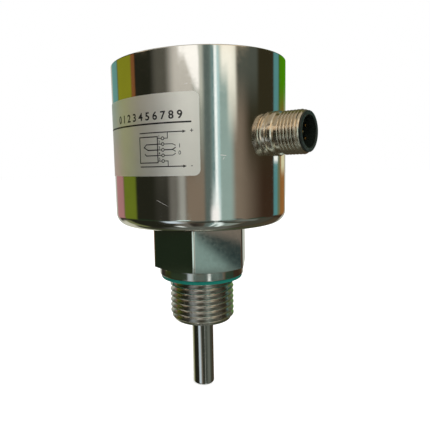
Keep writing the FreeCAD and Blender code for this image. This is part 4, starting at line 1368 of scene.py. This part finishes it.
def studio_material(towards_camera):
    """Emission of the dome: every card laid over the one before it.

    Azimuth is arctan2 of the place on the dome, turned so that 0 points at the camera's side.
    """
    material = bpy.data.materials.new("studio_cards")
    material.use_nodes = True
    tree = material.node_tree
    tree.nodes.clear()
    place = tree.nodes.new("ShaderNodeTexCoord").outputs["Object"]
    turned_place = add_node(tree, "ShaderNodeVectorRotate", rotation_type="Z_AXIS", Vector=place,
                            Angle=-towards_camera)
    split = add_node(tree, "ShaderNodeSeparateXYZ", Vector=turned_place.outputs[0])
    x, y, z = split.outputs
    azimuth = maths(tree, "DEGREES", maths(tree, "ARCTAN2", y, x))
    flat = maths(tree, "SQRT", maths(tree, "ADD", maths(tree, "MULTIPLY", x, x),
                                     maths(tree, "MULTIPLY", y, y)))
    elevation = maths(tree, "DEGREES", maths(tree, "ARCTAN2", z, flat))
    shown = display(*CARD_BASE)
    for name, rgb, middle, half, soft, base, top, fade, lean in CARDS:
        card = place_group(tree, shared("card"), Azimuth=azimuth, Elevation=elevation,
                           Under=shown, Colour=display(*rgb), Middle=middle, Half_Width=half,
                           Soft=soft, Low=base, High=top, Fade=fade, Lean=lean)
        card.label = name
        shown = card.outputs[0]
    glow = add_node(tree, "ShaderNodeEmission", Color=shown, Strength=CARD_LEVEL)
    end = tree.nodes.new("ShaderNodeOutputMaterial")
    link(tree, glow.outputs[0], end.inputs["Surface"])
    material.cycles.emission_sampling = "NONE"
    return material


def studio_dome(middle_z):
    """Sphere round the stage: x = r cos e cos a, y = r cos e sin a, z = r sin e."""
    e = np.linspace(-90, 90, 61) * DEG
    a = around(120)
    points = np.stack([np.outer(np.cos(e), np.cos(a)), np.outer(np.cos(e), np.sin(a)),
                       np.repeat(np.sin(e)[:, None], len(a), 1)], -1) * DOME_R
    dome = mesh_piece("studio_dome", [(points, grid_quads(len(e), len(a), False, True))])
    dome.location.z = middle_z
    dome.visible_camera = False
    dome.visible_diffuse = False
    dome.visible_transmission = False
    dome.visible_shadow = False
    return dome


class FLOW_OT_stage(bpy.types.Operator):
    """Camera, pale floor, plain light all round, two soft lamps and the studio cards"""
    bl_idname = "flow.stage"
    bl_label = "Stage"

    def execute(self, context):
        size = settings(context).stage
        self.camera(context, size)
        self.world(context, size)
        self.floor()
        towards_camera = math.atan2(size.camera_y, size.camera_x)
        dome = studio_dome((BODY_TOP + PROBE_TIP) / 2)
        dress(dome, studio_material(towards_camera))
        self.lamp("key_lamp", towards_camera + 24 * DEG, 42 * DEG, 0.7, 0.45, size.key)
        self.lamp("rim_lamp", towards_camera + 170 * DEG, 35 * DEG, 0.8, 0.5, size.rim)
        return {"FINISHED"}

    def camera(self, context, size):
        data = bpy.data.cameras.new("camera")
        data.sensor_width = 36.0
        data.lens = size.focal
        data.shift_x = size.shift
        data.clip_start = 0.005
        holder = bpy.data.objects.new("camera", data)
        place = Matrix.Translation((size.camera_x, size.camera_y, size.camera_z))
        turn = (Matrix.Rotation(size.heading, 4, "Z")
                @ Matrix.Rotation(math.pi / 2 - size.tilt, 4, "X")
                @ Matrix.Rotation(size.roll, 4, "Z"))
        holder.matrix_world = place @ turn
        context.scene.collection.objects.link(holder)
        context.scene.camera = holder

    def world(self, context, size):
        world = bpy.data.worlds.new("studio")
        context.scene.world = world
        world.use_nodes = True
        tree = world.node_tree
        tree.nodes.clear()
        path = tree.nodes.new("ShaderNodeLightPath")
        seen = maths(tree, "MAXIMUM", path.outputs["Is Camera Ray"],
                     maths(tree, "MAXIMUM", path.outputs["Is Glossy Ray"],
                           path.outputs["Is Transmission Ray"]))
        plain = add_node(tree, "ShaderNodeBackground", Color=(1, 1, 1, 1), Strength=size.fill)
        white = add_node(tree, "ShaderNodeBackground", Color=(1, 1, 1, 1), Strength=1.0)
        mixed = tree.nodes.new("ShaderNodeMixShader")
        link(tree, seen, mixed.inputs[0])
        link(tree, plain.outputs[0], mixed.inputs[1])
        link(tree, white.outputs[0], mixed.inputs[2])
        end = tree.nodes.new("ShaderNodeOutputWorld")
        link(tree, mixed.outputs[0], end.inputs["Surface"])

    def floor(self):
        """Flat disc just below the probe: x = r cos a, y = r sin a."""
        r = np.array([0.0, 0.1, 0.5, 1.5, 2.9])
        section = np.stack([r, np.full(len(r), PROBE_TIP - 0.2 * MM)], -1)
        piece = mesh_piece("floor", [turned(section, around(64), closed=False)])
        material = bpy.data.materials.new("pale_floor")
        material.use_nodes = True
        tree = material.node_tree
        shader = tree.nodes["Principled BSDF"]
        shader.inputs["Base Color"].default_value = (0.9, 0.9, 0.9, 1)
        shader.inputs["Roughness"].default_value = 0.9
        shader.inputs["Specular IOR Level"].default_value = 0.0
        path = tree.nodes.new("ShaderNodeLightPath")
        shader.inputs["Emission Color"].default_value = (1, 1, 1, 1)
        link(tree, maths(tree, "MULTIPLY", path.outputs["Is Camera Ray"], 0.5),
             shader.inputs["Emission Strength"])
        dress(piece, material)
        piece.visible_glossy = False

    def lamp(self, name, azimuth, elevation, distance, side, level):
        """Soft square lamp; its power is level times (pi times its distance) squared."""
        data = bpy.data.lights.new(name, "AREA")
        data.size = side
        data.energy = level * (math.pi * distance) ** 2
        holder = bpy.data.objects.new(name, data)
        middle = (BODY_TOP + BODY_BOTTOM) / 2
        turn = Matrix.Rotation(azimuth + math.pi / 2, 4, "Z") @ Matrix.Rotation(
            math.pi / 2 - elevation, 4, "X")
        holder.matrix_world = Matrix.Translation((0, 0, middle)) @ turn @ Matrix.Translation(
            (0, 0, distance))
        holder.visible_glossy = False
        bpy.context.scene.collection.objects.link(holder)


OPERATORS = [FLOW_OT_housing, FLOW_OT_fitting, FLOW_OT_seal, FLOW_OT_probe, FLOW_OT_cover,
             FLOW_OT_plug, FLOW_OT_connector, FLOW_OT_label, FLOW_OT_inner_finishes,
             FLOW_OT_stage]


class FLOW_PT_panel(bpy.types.Panel):
    """Steps that dress the flow switch, in the 3D view's sidebar"""
    bl_idname = "FLOW_PT_panel"
    bl_label = "Flow switch"
    bl_space_type = "VIEW_3D"
    bl_region_type = "UI"
    bl_category = "Flow switch"

    def draw(self, context):
        for step in OPERATORS:
            self.layout.operator(step.bl_idname)


CLASSES = [HousingSizes, FittingSizes, ProbeSizes, CoverSizes, PlugSizes, ConnectorSizes,
           LabelSizes, FlowSwitchFinish, StageSettings, FlowSwitchSettings, *OPERATORS,
           FLOW_PT_panel]


def register():
    for item in CLASSES:
        bpy.utils.register_class(item)
    bpy.types.Scene.flow_switch = PointerProperty(type=FlowSwitchSettings)


def unregister():
    del bpy.types.Scene.flow_switch
    for item in reversed(CLASSES):
        bpy.utils.unregister_class(item)


def main():
    register()
    bpy.context.scene.view_settings.view_transform = "Standard"
    for step in OPERATORS:
        group, name = step.bl_idname.split(".")
        getattr(getattr(bpy.ops, group), name)()


if __name__ == "__main__":
    main()
